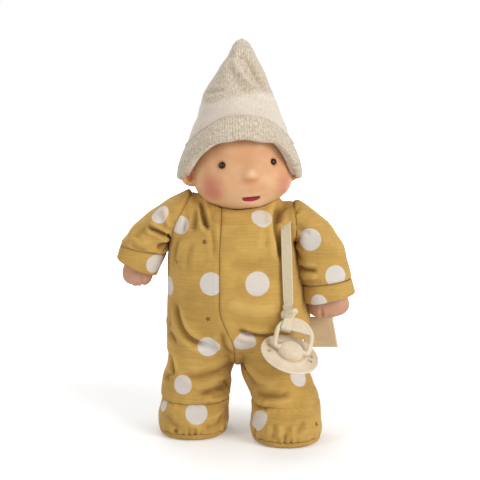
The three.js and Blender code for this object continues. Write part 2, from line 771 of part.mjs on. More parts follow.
const nubTop = -pivotLift - 2 * gap - shieldThickness;
const nubEnd = nubTop - nubLength;
const nub = turned([
  [0, nubEnd], [nubRadius * 0.7, nubEnd], [nubRadius, nubEnd + 1.5], [nubRadius, nubTop], [0, nubTop],
]);
piece(shieldGroup, 'pacifier_shield', moved(shieldSolid(), place(vector(0, 0, 0), upright)), 'plastic');
piece(shieldGroup, 'pacifier_button', moved(buttonSolid(), place(vector(0, 0, 0), upright)), 'plastic');
piece(shieldGroup, 'pacifier_nub', moved(nub, place(vector(0, 0, 0), upright)), 'plastic');

// The knot closes the ribbon, and its flat loop goes round the ring's crescent, to one side of its middle
const loopTurn = new THREE.Matrix4().makeBasis(vector(0, 1, 0), vector(0, 0, 1), vector(1, 0, 0));
const loopGeometry = new THREE.TorusGeometry(loopLong, loopThickness / 2, 8, 24);
loopGeometry.scale(1, loopShort / loopLong, loopWidth / loopThickness);
loopGeometry.applyMatrix4(loopTurn);
const loop = moved(solidOf(loopGeometry), place(loopCentre, ringPose));
const knotCentre = knotLow.clone().add(vector(0, 0, knotHeight));
const knot = ball(knotRadius, knotRadius * 0.85, knotHeight, knotCentre.x, knotCentre.y, knotCentre.z);
const stemRadius = loopThickness;
const knotStem = form([knotLow, knotCentre].map((p) => (
  section(p.x, p.y, p.z, stemRadius, stemRadius, stemRadius, 0, 2)
)));
piece(ribbonGroup, 'ribbon_knot', knot.add(loop).add(knotStem), 'ribbon');

const ribbonEnd = knotCentre.clone().add(vector(0, 0, knotHeight + gap));
const ribbonPath = [[0, 0], [0.25, 0.42], [0.5, 0.7], [0.75, 0.87], [1, 1]];
const ribbonRings = ribbonPath.map(([h, y]) => section(
  h * ribbonEnd.x, y * ribbonEnd.y, h * ribbonEnd.z,
  ribbonWidth / 2, ribbonWidth / 2, ribbonThickness / 2, 0, 6,
));
ribbonRings.reverse();
piece(ribbonGroup, 'ribbon', form(ribbonRings), 'ribbon');

// Label: a folded strip of woven tape, sewn in the left side seam and hanging beside the thigh
const labelGroup = groupAt(doll, 0.957 * bellyWidth / 2, seamY + 3, hipHeight + thighRadius + 1.3);
const labelOutline = [
  [gap, 0], [gap - 0.8, 0.22 * labelHeight], [1.03 * labelWidth, 0.22 * labelHeight],
  [1.21 * labelWidth, -0.77 * labelHeight], [0.21 * labelWidth, -0.78 * labelHeight],
  [0.156 * labelWidth, -0.18 * labelHeight],
];
const labelShape = new THREE.Shape(labelOutline.map(([x, z]) => new THREE.Vector2(x, z)));
const labelBody = new THREE.ExtrudeGeometry(labelShape, { depth: labelThickness, bevelEnabled: false });
labelBody.rotateX(Math.PI / 2).translate(0, labelThickness / 2, 0);
piece(labelGroup, 'side_label', solidOf(labelBody), 'label');

// The base of the box round the doll is its origin
doll.updateMatrixWorld(true);
const bounds = new THREE.Box3().setFromObject(doll, true);
const middle = bounds.getCenter(vector(0, 0, 0));
doll.position.set(-middle.x, -middle.y, -bounds.min.z);

export default doll;
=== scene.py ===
import json
import math

import bpy
import numpy as np
from mathutils import Euler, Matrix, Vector
from mathutils.bvhtree import BVHTree


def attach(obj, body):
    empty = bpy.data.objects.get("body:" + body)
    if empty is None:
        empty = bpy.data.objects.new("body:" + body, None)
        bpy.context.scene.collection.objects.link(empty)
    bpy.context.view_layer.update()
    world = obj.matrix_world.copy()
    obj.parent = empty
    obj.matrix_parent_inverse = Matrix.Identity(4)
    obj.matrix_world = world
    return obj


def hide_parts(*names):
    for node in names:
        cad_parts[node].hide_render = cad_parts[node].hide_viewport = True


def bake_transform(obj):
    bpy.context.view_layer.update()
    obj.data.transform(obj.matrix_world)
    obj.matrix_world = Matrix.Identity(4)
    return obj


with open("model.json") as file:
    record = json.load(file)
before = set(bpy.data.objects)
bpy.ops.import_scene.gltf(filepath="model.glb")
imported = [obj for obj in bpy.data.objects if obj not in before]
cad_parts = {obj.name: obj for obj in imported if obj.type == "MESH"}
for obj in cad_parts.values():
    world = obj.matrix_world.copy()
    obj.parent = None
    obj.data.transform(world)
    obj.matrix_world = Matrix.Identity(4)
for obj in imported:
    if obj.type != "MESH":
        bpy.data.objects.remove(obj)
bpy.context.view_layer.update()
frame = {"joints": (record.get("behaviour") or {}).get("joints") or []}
jointList = {j["name"]: j for j in frame["joints"]}

# The doll is drawn in millimetres, with x = 0 at its middle; the frame's own place is added at the end
drawnHip = np.array([28.4, 0.0, 54.0])
rowShift = np.array(jointList["hip_bend_left"]["pos_m"]) * 1000 - drawnHip


def jointPlace(name):
    # Where the frame has a joint, in the doll's own millimetres
    return np.array(jointList[name]["pos_m"]) * 1000 - rowShift


neckPivot = jointPlace("head_nod")


def toRow(points):
    return (np.asarray(points, float) + rowShift) / 1000


# Camera: the photograph's view, a little above the doll
cameraValues = {"distance": 850.0, "elevation": 9.0, "mmPerPixel": 0.7607, "centre": (3.04, 0.0, 149.1),
    "sensor": 36.0}
lookDown = math.radians(cameraValues["elevation"])
viewForward = np.array([0, math.cos(lookDown), -math.sin(lookDown)])
viewUp = np.array([0, math.sin(lookDown), math.cos(lookDown)])
viewCentre = np.array(cameraValues["centre"])
eyePoint = viewCentre - viewForward * cameraValues["distance"]

cameraData = bpy.data.cameras.new("photoCamera")
cameraData.sensor_width = cameraValues["sensor"]
cameraData.lens = cameraValues["sensor"] * cameraValues["distance"] / (480 * cameraValues["mmPerPixel"])
cameraData.clip_end = 20
cameraObject = bpy.data.objects.new("photoCamera", cameraData)
bpy.context.scene.collection.objects.link(cameraObject)
cameraObject.location = toRow(eyePoint)
cameraObject.rotation_euler = Euler((math.pi / 2 - lookDown, 0, 0))
bpy.context.scene.camera = cameraObject


def pixelRay(px, py):
    scale = cameraValues["mmPerPixel"]
    direction = viewForward * cameraValues["distance"] + viewUp * (240 - py) * scale
    direction[0] += (px - 240) * scale
    return direction / np.linalg.norm(direction)


# Small geometry tools, all in millimetres
def smoothStep(low, high, x):
    t = np.clip((x - low) / (high - low), 0, 1)
    return t * t * (3 - 2 * t)


def bell(x, width):
    return np.exp(-(x / width) ** 2)


def throughPoints(xs, ys, wanted):
    # A smooth curve through known points that never overshoots them
    xs, ys, wanted = np.asarray(xs, float), np.asarray(ys, float), np.asarray(wanted, float)
    steps = np.diff(xs)
    slopes = np.diff(ys, axis=0) / (steps[:, None] if ys.ndim > 1 else steps)
    tangents = np.zeros_like(ys)
    tangents[0], tangents[-1] = slopes[0], slopes[-1]
    before, after = slopes[:-1], slopes[1:]
    same = before * after > 0
    total = np.where(same, before + after, 1)
    tangents[1:-1] = np.where(same, 2 * before * after / total, 0)
    i = np.clip(np.searchsorted(xs, wanted) - 1, 0, len(xs) - 2)
    t = (wanted - xs[i]) / steps[i]
    h = steps[i]
    if ys.ndim > 1:
        t, h = t[:, None], h[:, None]
    a, b = ys[i], ys[i + 1]
    return (a * (2 * t**3 - 3 * t**2 + 1) + tangents[i] * h * (t**3 - 2 * t**2 + t)
            + b * (3 * t**2 - 2 * t**3) + tangents[i + 1] * h * (t**3 - t**2))


def loftGrid(rows, rings, columns, start=0.0):
    # rows: x, y, z, half width to -x, half width to +x, half depth, lean in degrees, squareness
    rows = np.array(rows, float)
    step = np.linalg.norm(np.diff(rows[:, :3], axis=0),
        axis=1) + 0.15 * np.abs(np.diff(rows[:, 3:6], axis=0)).sum(1)
    along = np.concatenate([[0], np.cumsum(np.maximum(step, 0.05))])
    table = throughPoints(along, rows, np.linspace(0, along[-1], rings))
    angle = start + np.arange(columns) / columns * 2 * math.pi
    c, s = np.cos(angle), np.sin(angle)
    centre, less, more, depth = table[:, None, :3], table[:, 3:4], table[:, 4:5], table[:, 5:6]
    lean, power = np.radians(table[:, 6:7]), table[:, 7:8]
    u = np.sign(c) * np.abs(c) ** (2 / power) * np.where(c > 0, more, less)
    v = np.sign(s) * np.abs(s) ** (2 / power) * depth
    grid = np.zeros((rings, columns, 3)) + centre
    grid[:, :, 0] += u * np.cos(lean)
    grid[:, :, 2] += u * np.sin(lean)
    grid[:, :, 1] += v
    return grid


def gridFaces(rings, columns, wrap=True):
    i, j = np.meshgrid(np.arange(rings - 1), np.arange(columns if wrap else columns - 1), indexing="ij")
    a = i * columns + j
    b = i * columns + (j + 1) % columns
    return np.stack([a, b, b + columns, a + columns], -1).reshape(-1, 4).tolist()


class Shell:
    # A mesh in the making: points in millimetres and faces
    def __init__(self, points, faces):
        self.points = np.asarray(points, float).reshape(-1, 3)
        self.faces = [tuple(f) for f in faces]

    def normals(self):
        total = np.zeros_like(self.points)
        quads = np.array([f if len(f) == 4 else (f[0], f[1], f[2], f[2]) for f in self.faces if len(f) < 5])
        corners = self.points[quads]
        face = np.cross(corners[:, 2] - corners[:, 0], corners[:, 3] - corners[:, 1])
        degenerate = quads[:, 2] == quads[:, 3]
        face[degenerate] = np.cross(corners[degenerate, 1] - corners[degenerate, 0],
            corners[degenerate, 2] - corners[degenerate, 0])
        for k in range(4):
            np.add.at(total, quads[:, k], face)
        return total / np.maximum(np.linalg.norm(total, axis=1, keepdims=True), 1e-9)

    def push(self, amount):
        self.points = self.points + self.normals() * np.asarray(amount)[:, None]
        return self

    def soften(self, rounds, weight=0.5, where=None):
        pairs = np.array([(f[k], f[(k + 1) % len(f)]) for f in self.faces for k in range(len(f))])
        pairs = np.concatenate([pairs, pairs[:, ::-1]])
        count = np.bincount(pairs[:, 0], minlength=len(self.points))[:, None]
        share = weight if where is None else weight * np.asarray(where)[:, None]
        for _ in range(rounds):
            total = np.zeros_like(self.points)
            np.add.at(total, pairs[:, 0], self.points[pairs[:, 1]])
            self.points = self.points + (total / np.maximum(count, 1) - self.points) * share
        return self

    def tree(self):
        return BVHTree.FromPolygons([tuple(p) for p in self.points], self.faces)

    def plus(self, other):
        offset = len(self.points)
        moved = [tuple(v + offset for v in f) for f in other.faces]
        return Shell(np.concatenate([self.points, other.points]), self.faces + moved)


def loftShell(rows, rings, columns, start=0.0):
    # A closed form through the rows, with a fan of faces over each end
    grid = loftGrid(rows, rings, columns, start)
    faces = gridFaces(rings, columns)
    low = rings * columns
    high, last = low + 1, low - columns
    faces += [(low, (k + 1) % columns, k) for k in range(columns)]
    faces += [(high, last + k, last + (k + 1) % columns) for k in range(columns)]
    return Shell(np.concatenate([grid.reshape(-1, 3), [grid[0].mean(0), grid[-1].mean(0)]]), faces)


def ballPoints(rings, columns, open):
    # A ball of radius 1 in rings from below, open by that small angle at each end
    tilt = np.linspace(-math.pi / 2 + open, math.pi / 2 - open, rings)[:, None]
    turn = np.arange(columns) / columns * 2 * math.pi
    across = [np.cos(tilt) * np.cos(turn), np.cos(tilt) * np.sin(turn)]
    return np.stack([*across, np.sin(tilt) * np.ones(columns)], -1).reshape(-1, 3)


def meshObject(name, shell):
    mesh = bpy.data.meshes.new(name)
    mesh.from_pydata([tuple(p) for p in toRow(shell.points)], [], shell.faces)
    mesh.update()
    mesh.polygons.foreach_set("use_smooth", [True] * len(mesh.polygons))
    thing = bpy.data.objects.new(name, mesh)
    bpy.context.scene.collection.objects.link(thing)
    return thing


def restPlace(thing, places=None):
    # The cloth's own place in millimetres, so that print and weave stay on it when it bends
    mesh = thing.data
    attribute = mesh.attributes.new("restPlace", "FLOAT_VECTOR", "POINT")
    if places is None:
        places = np.array([v.co for v in mesh.vertices]) * 1000 - rowShift
    attribute.data.foreach_set("vector", np.asarray(places, np.float32).ravel())
    return thing


def placedObject(name, shell, place):
    # A piece drawn in its own directions, put in its place, with its grain kept to its own directions
    local = shell.points.copy()
    shell.points = place(local)
    return restPlace(meshObject(name, shell), local)


def bandAttribute(thing, name, values):
    attribute = thing.data.attributes.new(name, "FLOAT", "POINT")
    attribute.data.foreach_set("value", np.asarray(values, np.float32))


def merged(parts, voxel, rounds):
    # Several overlapping closed shells as one smooth skin
    whole = parts[0]
    for part in parts[1:]:
        whole = whole.plus(part)
    thing = meshObject("mergeWork", whole)
    remesh = thing.modifiers.new("skin", "REMESH")
    remesh.mode = "VOXEL"
    remesh.voxel_size = voxel / 1000
    skin = thing.evaluated_get(bpy.context.evaluated_depsgraph_get()).to_mesh()
    points = np.array([v.co for v in skin.vertices]) * 1000 - rowShift
    faces = [tuple(p.vertices) for p in skin.polygons]
    bpy.data.objects.remove(thing)
    return Shell(points, faces).soften(rounds)


def ripple(points, wave, seed, count=14):
    # A soft random relief, between about -1 and 1; wave is the size of its swells along x, y and z
    rng = np.random.default_rng(seed)
    total = np.zeros(len(points))
    scaled = points / np.asarray(wave, float)
    for _ in range(count):
        direction = rng.normal(size=3)
        direction *= rng.uniform(0.6, 1.4) / np.linalg.norm(direction)
        total += np.sin(scaled @ direction * 2 * math.pi + rng.uniform(0, 2 * math.pi))
    return total / math.sqrt(count)


def lineDistance(points, line):
    # Distance to a bent line, and how far along it the nearest point lies, from 0 to 1
    line = np.asarray(line, float)
    lengths = np.linalg.norm(np.diff(line, axis=0), axis=1)
    total = lengths.sum()
    best = np.full(len(points), 1e9)
    place = np.zeros(len(points))
    passed = 0
    for a, b, length in zip(line[:-1], line[1:], lengths):
        t = np.clip((points - a) @ (b - a) / max(length**2, 1e-9), 0, 1)
        d = np.linalg.norm(points - (a + t[:, None] * (b - a)), axis=1)
        nearer = d < best
        best = np.where(nearer, d, best)
        place = np.where(nearer, (passed + t * length) / total, place)
        passed += length
    return best, place


def onSurface(tree, pixels, fallback=0.0):
    # Where pixels of the photograph fall on a surface
    found = []
    for px, py in pixels:
        hit = tree.ray_cast(Vector(eyePoint), Vector(pixelRay(px, py)))[0]
        if hit is None:
            near = eyePoint + pixelRay(px, py) * (cameraValues["distance"] + fallback)
            hit = tree.find_nearest(Vector(near))[0]
        found.append(np.array(hit))
    return np.array(found)


def refined(line, spacing=3.0):
    line = np.asarray(line, float)
    along = np.concatenate([[0], np.cumsum(np.linalg.norm(np.diff(line, axis=0), axis=1))])
    count = max(2, int(along[-1] / spacing) + 1)
    return throughPoints(along + np.arange(len(along)) * 1e-6, line, np.linspace(0, along[-1], count))


foldStrength = 1.6


def foldRelief(shell, folds):
    # Each fold is pixels of its line, width and depth in millimetres; a negative depth is a ridge
    tree = shell.tree()
    total = np.zeros(len(shell.points))
    for pixels, width, depth in folds:
        finePixels = refined(np.array(pixels, float), 4.0)
        d, along = lineDistance(shell.points, onSurface(tree, finePixels))
        fade = np.clip(np.sin(np.clip(along, 0, 1) * math.pi) * 1.8, 0, 1)
        total += foldStrength * fade * depth * (-bell(d, width) + 0.45 * bell(d - 1.9 * width, width))
    return total


print("tools ready")

# Shader node groups: each is an effect that several materials share
def newGroup(name, inputs, outputs):
    group = bpy.data.node_groups.new(name, "ShaderNodeTree")
    for label, kind, value in inputs:
        socket = group.interface.new_socket(label, in_out="INPUT", socket_type="NodeSocket" + kind)
        if value is not None:
            socket.default_value = value
    for label, kind in outputs:
        group.interface.new_socket(label, in_out="OUTPUT", socket_type="NodeSocket" + kind)
    start = group.nodes.new("NodeGroupInput")
    end = group.nodes.new("NodeGroupOutput")
    return group, start, end


class Wiring:
    # Short hands for building a node tree
    def __init__(self, tree):
        self.tree = tree

    def add(self, kind, **settings):
        node = self.tree.nodes.new("ShaderNode" + kind)
        for key, value in settings.items():
            setattr(node, key, value)
        return node

    def feed(self, socket, value):
        if isinstance(value, bpy.types.NodeSocket):
            self.tree.links.new(value, socket)
        elif value is not None:
            socket.default_value = value

    def math(self, operation, a, b=None, c=None, clamp=False):
        node = self.add("Math", operation=operation, use_clamp=clamp)
        for socket, value in zip(node.inputs, (a, b, c)):
            self.feed(socket, value)
        return node.outputs[0]

    def plus(self, a, b, clamp=False):
        return self.math("ADD", a, b, clamp=clamp)

    def times(self, a, b):
        return self.math("MULTIPLY", a, b)

    def minus(self, a, b):
        return self.math("SUBTRACT", a, b)

    def vector(self, operation, a, b=None):
        node = self.add("VectorMath", operation=operation)
        self.feed(node.inputs[0], a)
        self.feed(node.inputs[1], b)
        return node.outputs["Value"] if operation in ("DOT_PRODUCT", "LENGTH",
            "DISTANCE") else node.outputs[0]

    def range(self, value, low, high, outLow=0.0, outHigh=1.0, smooth=True):
        node = self.add("MapRange", interpolation_type="SMOOTHSTEP" if smooth else "LINEAR")
        for key, item in (("Value", value), ("From Min", low), ("From Max", high), ("To Min", outLow),
            ("To Max", outHigh)):
            self.feed(node.inputs[key], item)
        return node.outputs["Result"]

    def noise(self, place, scale, detail=3.0, roughness=0.5, distortion=0.0):
        node = self.add("TexNoise")
        self.feed(node.inputs["Vector"], place)
        self.feed(node.inputs["Scale"], scale)
        self.feed(node.inputs["Detail"], detail)
        self.feed(node.inputs["Roughness"], roughness)
        self.feed(node.inputs["Distortion"], distortion)
        return node.outputs["Fac"]

    def colours(self, factor, a, b):
        node = self.add("Mix", data_type="RGBA")
        self.feed(node.inputs[0], factor)
        self.feed(node.inputs[6], a)
        self.feed(node.inputs[7], b)
        return node.outputs[2]

    def place(self, name, output="Vector"):
        return self.add("Attribute", attribute_type="GEOMETRY", attribute_name=name).outputs[output]

    def parts(self, place):
        node = self.add("SeparateXYZ")
        self.feed(node.inputs[0], place)
        return node.outputs

    def use(self, group, **values):
        node = self.add("Group")
        node.node_tree = group
        for key, value in values.items():
            self.feed(node.inputs[key], value)
        return node.outputs


def linear(red, green, blue):
    # A colour as it is seen, 0 to 255, to the value that the shader takes
    def one(v):
        return v / 255 / 12.92 if v <= 10.3 else ((v / 255 + 0.055) / 1.055) ** 2.4

    return one(red), one(green), one(blue), 1.0


# Plain weave with slubs: threads across and along, thicker and thinner by turns
weaveGroup, start, end = newGroup(
    "slubWeave",
    [("Place", "Vector", None), ("Thread", "Float", 0.55), ("Slub", "Float", 0.5)],
    [("Height", "Float"), ("Shade", "Float")])
w = Wiring(weaveGroup)
place, thread = start.outputs["Place"], start.outputs["Thread"]
perThread = w.math("DIVIDE", math.pi, thread)
wobble = w.noise(place, 0.35, 2.0)
split = w.parts(place)
shift = w.times(wobble, 1.6)
across = w.math("SINE", w.times(w.plus(split[0], shift), perThread))
alongZ = w.math("SINE", w.times(w.plus(split[2], shift), perThread))
warp = w.noise(w.vector("MULTIPLY", place, (1.9, 1.9, 0.09)), 1.0, 2.0)
weft = w.noise(w.vector("MULTIPLY", place, (0.055, 0.055, 2.2)), 1.0, 3.0)
slubs = w.plus(w.times(w.minus(warp, 0.5), 0.45), w.times(w.minus(weft, 0.5), 1.25))
crossing = w.times(across, alongZ)
fine = w.times(w.plus(w.math("ABSOLUTE", across), w.math("ABSOLUTE", alongZ)), 0.35)
height = w.plus(w.plus(fine, w.times(crossing, 0.25)), w.times(slubs, start.outputs["Slub"]))
shade = w.plus(0.5, w.plus(w.times(slubs, 0.85), w.times(crossing, 0.08)), clamp=True)
weaveGroup.links.new(height, end.inputs["Height"])
weaveGroup.links.new(shade, end.inputs["Shade"])

# A printed dot: near enough to its middle, with a slightly soft rim
dotGroup, start, end = newGroup(
    "printedDot",
    [("Place", "Vector", None), ("Middle", "Vector", None), ("Radius", "Float", 9.0),
    ("Rim", "Float", 0.35)],
    [("Mask", "Float")])
w = Wiring(dotGroup)
reach = w.vector("DISTANCE", start.outputs["Place"], start.outputs["Middle"])
mask = w.range(reach, w.plus(start.outputs["Radius"], start.outputs["Rim"]),
    w.minus(start.outputs["Radius"], start.outputs["Rim"]))
dotGroup.links.new(mask, end.inputs["Mask"])

# A small five-pointed star, flat across two directions
starGroup, start, end = newGroup(
    "printedStar",
    [("Place", "Vector", None), ("Middle", "Vector", None), ("Across", "Vector", (1, 0, 0)),
    ("Upward", "Vector", (0, 0, 1)), ("Radius", "Float", 2.8)],
    [("Mask", "Float")])
w = Wiring(starGroup)
offset = w.vector("SUBTRACT", start.outputs["Place"], start.outputs["Middle"])
u = w.vector("DOT_PRODUCT", offset, start.outputs["Across"])
v = w.vector("DOT_PRODUCT", offset, start.outputs["Upward"])
turn = w.math("ARCTAN2", u, v)
wedge = w.math("PINGPONG", turn, math.pi / 5)
rim = w.times(w.vector("LENGTH", offset), w.math("COSINE", w.minus(0.95, wedge)))
mask = w.range(rim, w.times(start.outputs["Radius"], 0.68), w.times(start.outputs["Radius"], 0.52))
starGroup.links.new(mask, end.inputs["Mask"])

# A soft round spot, for blush, eye rims and the lip, and for painted shade and a painted highlight on the
# face
spotGroup, start, end = newGroup(
    "softSpot",
    [("Place", "Vector", None), ("Middle", "Vector", None), ("Squash", "Vector", (1, 1, 1)),
    ("Radius", "Float", 8.0)],
    [("Mask", "Float")])
w = Wiring(spotGroup)
offset = w.vector("MULTIPLY", w.vector("SUBTRACT", start.outputs["Place"], start.outputs["Middle"]),
    start.outputs["Squash"])
mask = w.range(w.math("DIVIDE", w.vector("LENGTH", offset), start.outputs["Radius"]), 1.0, 0.0)
spotGroup.links.new(mask, end.inputs["Mask"])

# Heathered knit: columns of stitches in mixed pale and darker fibres, with fuzz over them
knitGroup, start, end = newGroup(
    "heatherKnit",
    [("Place", "Vector", None), ("Column", "Float", 1.7), ("Fuzz", "Float", 0.5)],
    [("Height", "Float"), ("Shade", "Float")])
w = Wiring(knitGroup)
place = start.outputs["Place"]
split = w.parts(place)
wander = w.times(w.noise(w.vector("MULTIPLY", place, (0.6, 0.2, 0.6)), 1.0, 2.0), 1.1)
column = w.math("ABSOLUTE",
    w.math("SINE", w.math("DIVIDE", w.times(w.plus(split[0], wander), math.pi), start.outputs["Column"])))
stitch = w.math("SINE", w.plus(w.times(split[1], 4.2), w.times(column, 2.4)))
fibres = w.noise(w.vector("MULTIPLY", place, (1.5, 0.7, 1.5)), 1.4, 5.0, 0.75)
flecks = w.noise(w.vector("MULTIPLY", place, (1.0, 0.7, 1.0)), 0.6, 5.0, 0.85)
height = w.plus(w.plus(w.times(column, 0.7), w.times(stitch, 0.16)), w.times(fibres, start.outputs["Fuzz"]))
shade = w.plus(w.range(flecks, 0.3, 0.7, smooth=False), w.times(w.minus(column, 0.6), 0.2), clamp=True)
knitGroup.links.new(height, end.inputs["Height"])
knitGroup.links.new(shade, end.inputs["Shade"])

# A sewn seam: a dark line where two panels meet, with the upper panel's edge standing a little proud
seamGroup, start, end = newGroup(
    "sewnSeam",
    [("Away", "Float", 30.0), ("Width", "Float", 0.45)],
    [("Height", "Float"), ("Shade", "Float")])
w = Wiring(seamGroup)
near = w.math("DIVIDE", w.math("ABSOLUTE", start.outputs["Away"]), start.outputs["Width"])
line = w.range(near, 2.0, 0.4)
soft = w.range(near, 9.0, 1.0)
lap = w.range(start.outputs["Away"], -0.3, 0.5)
seamGroup.links.new(w.minus(w.times(w.times(lap, soft), 1.2), w.times(line, 2.0)), end.inputs["Height"])
seamGroup.links.new(w.math("MAXIMUM", line, w.times(soft, 0.22)), end.inputs["Shade"])

# Fine grain of a moulded or cast surface
grainGroup, start, end = newGroup(
    "mouldGrain",
    [("Place", "Vector", None), ("Size", "Float", 0.6)],
    [("Height", "Float"), ("Patches", "Float")])
w = Wiring(grainGroup)
grain = w.noise(start.outputs["Place"], w.math("DIVIDE", 1.0, start.outputs["Size"]), 3.0)
patches = w.noise(start.outputs["Place"], 0.07, 3.0)
grainGroup.links.new(grain, end.inputs["Height"])
grainGroup.links.new(patches, end.inputs["Patches"])

# Twill tape: slanting ribs
twillGroup, start, end = newGroup(
    "twillRibs",
    [("Place", "Vector", None), ("Rib", "Float", 0.7)],
    [("Height", "Float"), ("Shade", "Float")])
w = Wiring(twillGroup)
split = w.parts(start.outputs["Place"])
slant = w.plus(w.times(split[0], 1.0), w.times(split[2], 0.8))
ribs = w.math("ABSOLUTE", w.math("SINE", w.math("DIVIDE", w.times(slant, math.pi), start.outputs["Rib"])))
uneven = w.noise(start.outputs["Place"], 0.8, 3.0)
twillGroup.links.new(w.plus(ribs, w.times(uneven, 0.4)), end.inputs["Height"])
twillGroup.links.new(uneven, end.inputs["Shade"])


def newMaterial(name):
    material = bpy.data.materials.new(name)
    material.use_nodes = True
    tree = material.node_tree
    shader = tree.nodes["Principled BSDF"]
    return material, Wiring(tree), shader


def setInputs(shader, values):
    for name, value in values.items():
        shader.inputs[name].default_value = value


def bumped(w, shader, height, strength, distance):
    # distance is the relief's real depth in millimetres
    bump = w.add("Bump")
    bump.inputs["Strength"].default_value = strength
    bump.inputs["Distance"].default_value = distance / 1000
    w.feed(bump.inputs["Height"], height)
    w.feed(shader.inputs["Normal"], bump.outputs["Normal"])


# deep is the painted shade laid into the folds' valleys, lit the painted highlight on their ridges
linenValues = {
    "cloth": (186, 142, 68), "worn": (214, 173, 92), "print": (224, 216, 207),
    "printShade": (200, 190, 180),
    "star": (104, 68, 20), "seam": (120, 82, 30), "deep": (112, 74, 24), "lit": (228, 190, 112),
    "thread": 0.6, "slub": 0.24, "relief": 0.13,
}


def linenMaterial(name, dots=(), stars=(), cut=()):
    v = linenValues
    material, w, shader = newMaterial(name)
    place = w.place("restPlace")
    weave = w.use(weaveGroup, Place=place, Thread=v["thread"], Slub=v["slub"])
    patches = w.range(w.noise(place, 0.045, 3.0), 0.35, 0.65)
    tone = w.plus(w.times(weave["Shade"], 0.75), w.times(patches, 0.25))
    colour = w.colours(tone, linear(*[c * 0.86 for c in v["cloth"]]), linear(*v["worn"]))
    mask = None
    away = w.place("seamAway", "Fac")
    for k, (middle, radius) in enumerate(dots):
        one = w.use(dotGroup, Place=place, Middle=tuple(middle), Radius=float(radius))["Mask"]
        if k in cut:
            one = w.times(one, w.range(away, 0.2, -0.2))
        mask = one if mask is None else w.math("MAXIMUM", mask, one)
    if mask is not None:
        printed = w.colours(weave["Shade"], linear(*v["printShade"]), linear(*v["print"]))
        colour = w.colours(mask, colour, printed)
    mask = None
    for middle, across, upward, radius in stars:
        one = w.use(starGroup, Place=place, Middle=tuple(middle), Across=tuple(across),
            Upward=tuple(upward), Radius=float(radius))["Mask"]
        mask = one if mask is None else w.math("MAXIMUM", mask, one)
    if mask is not None:
        colour = w.colours(w.times(mask, 0.8), colour, linear(*v["star"]))
    seam = w.use(seamGroup, Away=away, Width=0.3)
    colour = w.colours(w.times(seam["Shade"], 0.65), colour, linear(*v["seam"]))
    # painted shade: the cloth is darkened in the valleys of its folds and puckers, and a painted highlight
    # lightens their ridges
    crease = w.place("crease", "Fac")
    colour = w.colours(w.range(crease, -0.15, -2.4, 0.0, 0.62), colour, linear(*v["deep"]))
    colour = w.colours(w.range(crease, 0.1, 1.0, 0.0, 0.28), colour, linear(*v["lit"]))
    w.feed(shader.inputs["Base Color"], colour)
    setInputs(shader,
        {"Roughness": 0.88, "Sheen Weight": 0.12, "Sheen Roughness": 0.5, "Specular IOR Level": 0.25})
    bumped(w, shader, w.plus(weave["Height"], w.times(seam["Height"], 3.0)), 0.7, v["relief"])
    return material


print("material groups ready")

# The romper's cloth: each row of a plan is x, y, z, half widths, half depth, lean and squareness
armholeList = {
    "right": {"centre": jointPlace("arm_swing_right"), "lean": 63.6, "radius": 20.2, "depth": 19.0},
    "left": {"centre": jointPlace("arm_swing_left"), "lean": -85.0, "radius": 15.5, "depth": 17.0},
}


def rimRow(side, offset, draw=0.0):
    hole = armholeList[side]
    lean = math.radians(hole["lean"])
    at = hole["centre"] + np.array([-math.sin(lean), 0, math.cos(lean)]) * offset
    return (*at, hole["radius"] - draw, hole["radius"] - draw, hole["depth"] - draw, hole["lean"], 2.3)


headValues = {"width": 74.0, "depth": 71.0, "height": 75.0, "chinDrop": 3.7, "turn": 7.0, "roll": 3.8}
headProfile = [
    (0, 0.44), (0.055, 0.62), (0.1, 0.76), (0.155, 0.875), (0.22, 0.96), (0.3, 1), (0.41, 1),
    (0.5, 0.985), (0.61, 0.935), (0.74, 0.8), (0.87, 0.58), (0.955, 0.34), (1, 0.1), (1.004, 0.01),
]
headAngles = (0, -math.radians(headValues["roll"]), math.radians(headValues["turn"]))
headTurn = np.array(Euler(headAngles, "ZXY").to_matrix())


def headPlace(local):
    return np.asarray(local, float) @ headTurn.T + neckPivot


def headLocal(points):
    return (np.asarray(points, float) - neckPivot) @ headTurn


# Cloth is moved away from a place inside the head, which is higher towards the face
guardValues = {
    "middle": 30.0, "rise": 45.0, "rises": (-2.0, -16.0), "radius": 36.0, "below": 1.0, "farthest": 6.0,
    "halvings": 24,
}


def outsideHead(points, margin):
    # Moves what lies inside the head out to its surface and a margin more
    local = headLocal(points)
    levels = np.array([h for h, _ in headProfile]) * headValues["height"] - headValues["chinDrop"]
    radii = np.array([r for _, r in headProfile])
    v = guardValues
    height = v["middle"] + v["rise"] * smoothStep(*v["rises"], local[:, 1])
    middle = np.stack([0 * height, 0 * height, height], -1)

    def share(p):
        # how far out a place is, 1 at the head's surface
        r = np.interp(p[:, 2], levels, radii, left=0.02, right=0.02) / 2
        return np.hypot(p[:, 0] / (r * headValues["width"]), p[:, 1] / (r * headValues["depth"]))

    grown = middle + (local - middle) * (1 - margin / v["radius"])
    inside = (share(grown) < 1) & (local[:, 2] > levels[0] - v["below"])
    low, high = np.ones(len(local)), np.full(len(local), v["farthest"])
    for _ in range(v["halvings"]):
        mid = (low + high) / 2
        still = share(middle + (grown - middle) * mid[:, None]) < 1
        low, high = np.where(still, mid, low), np.where(still, high, mid)
    moved = middle + (local - middle) * np.where(inside, high, 1)[:, None]
    return headPlace(moved)


bodyValues = {"voxel": 1.15, "smoothing": 5, "collarGap": 0.6, "swell": 0.8, "chinDip": 0.56}

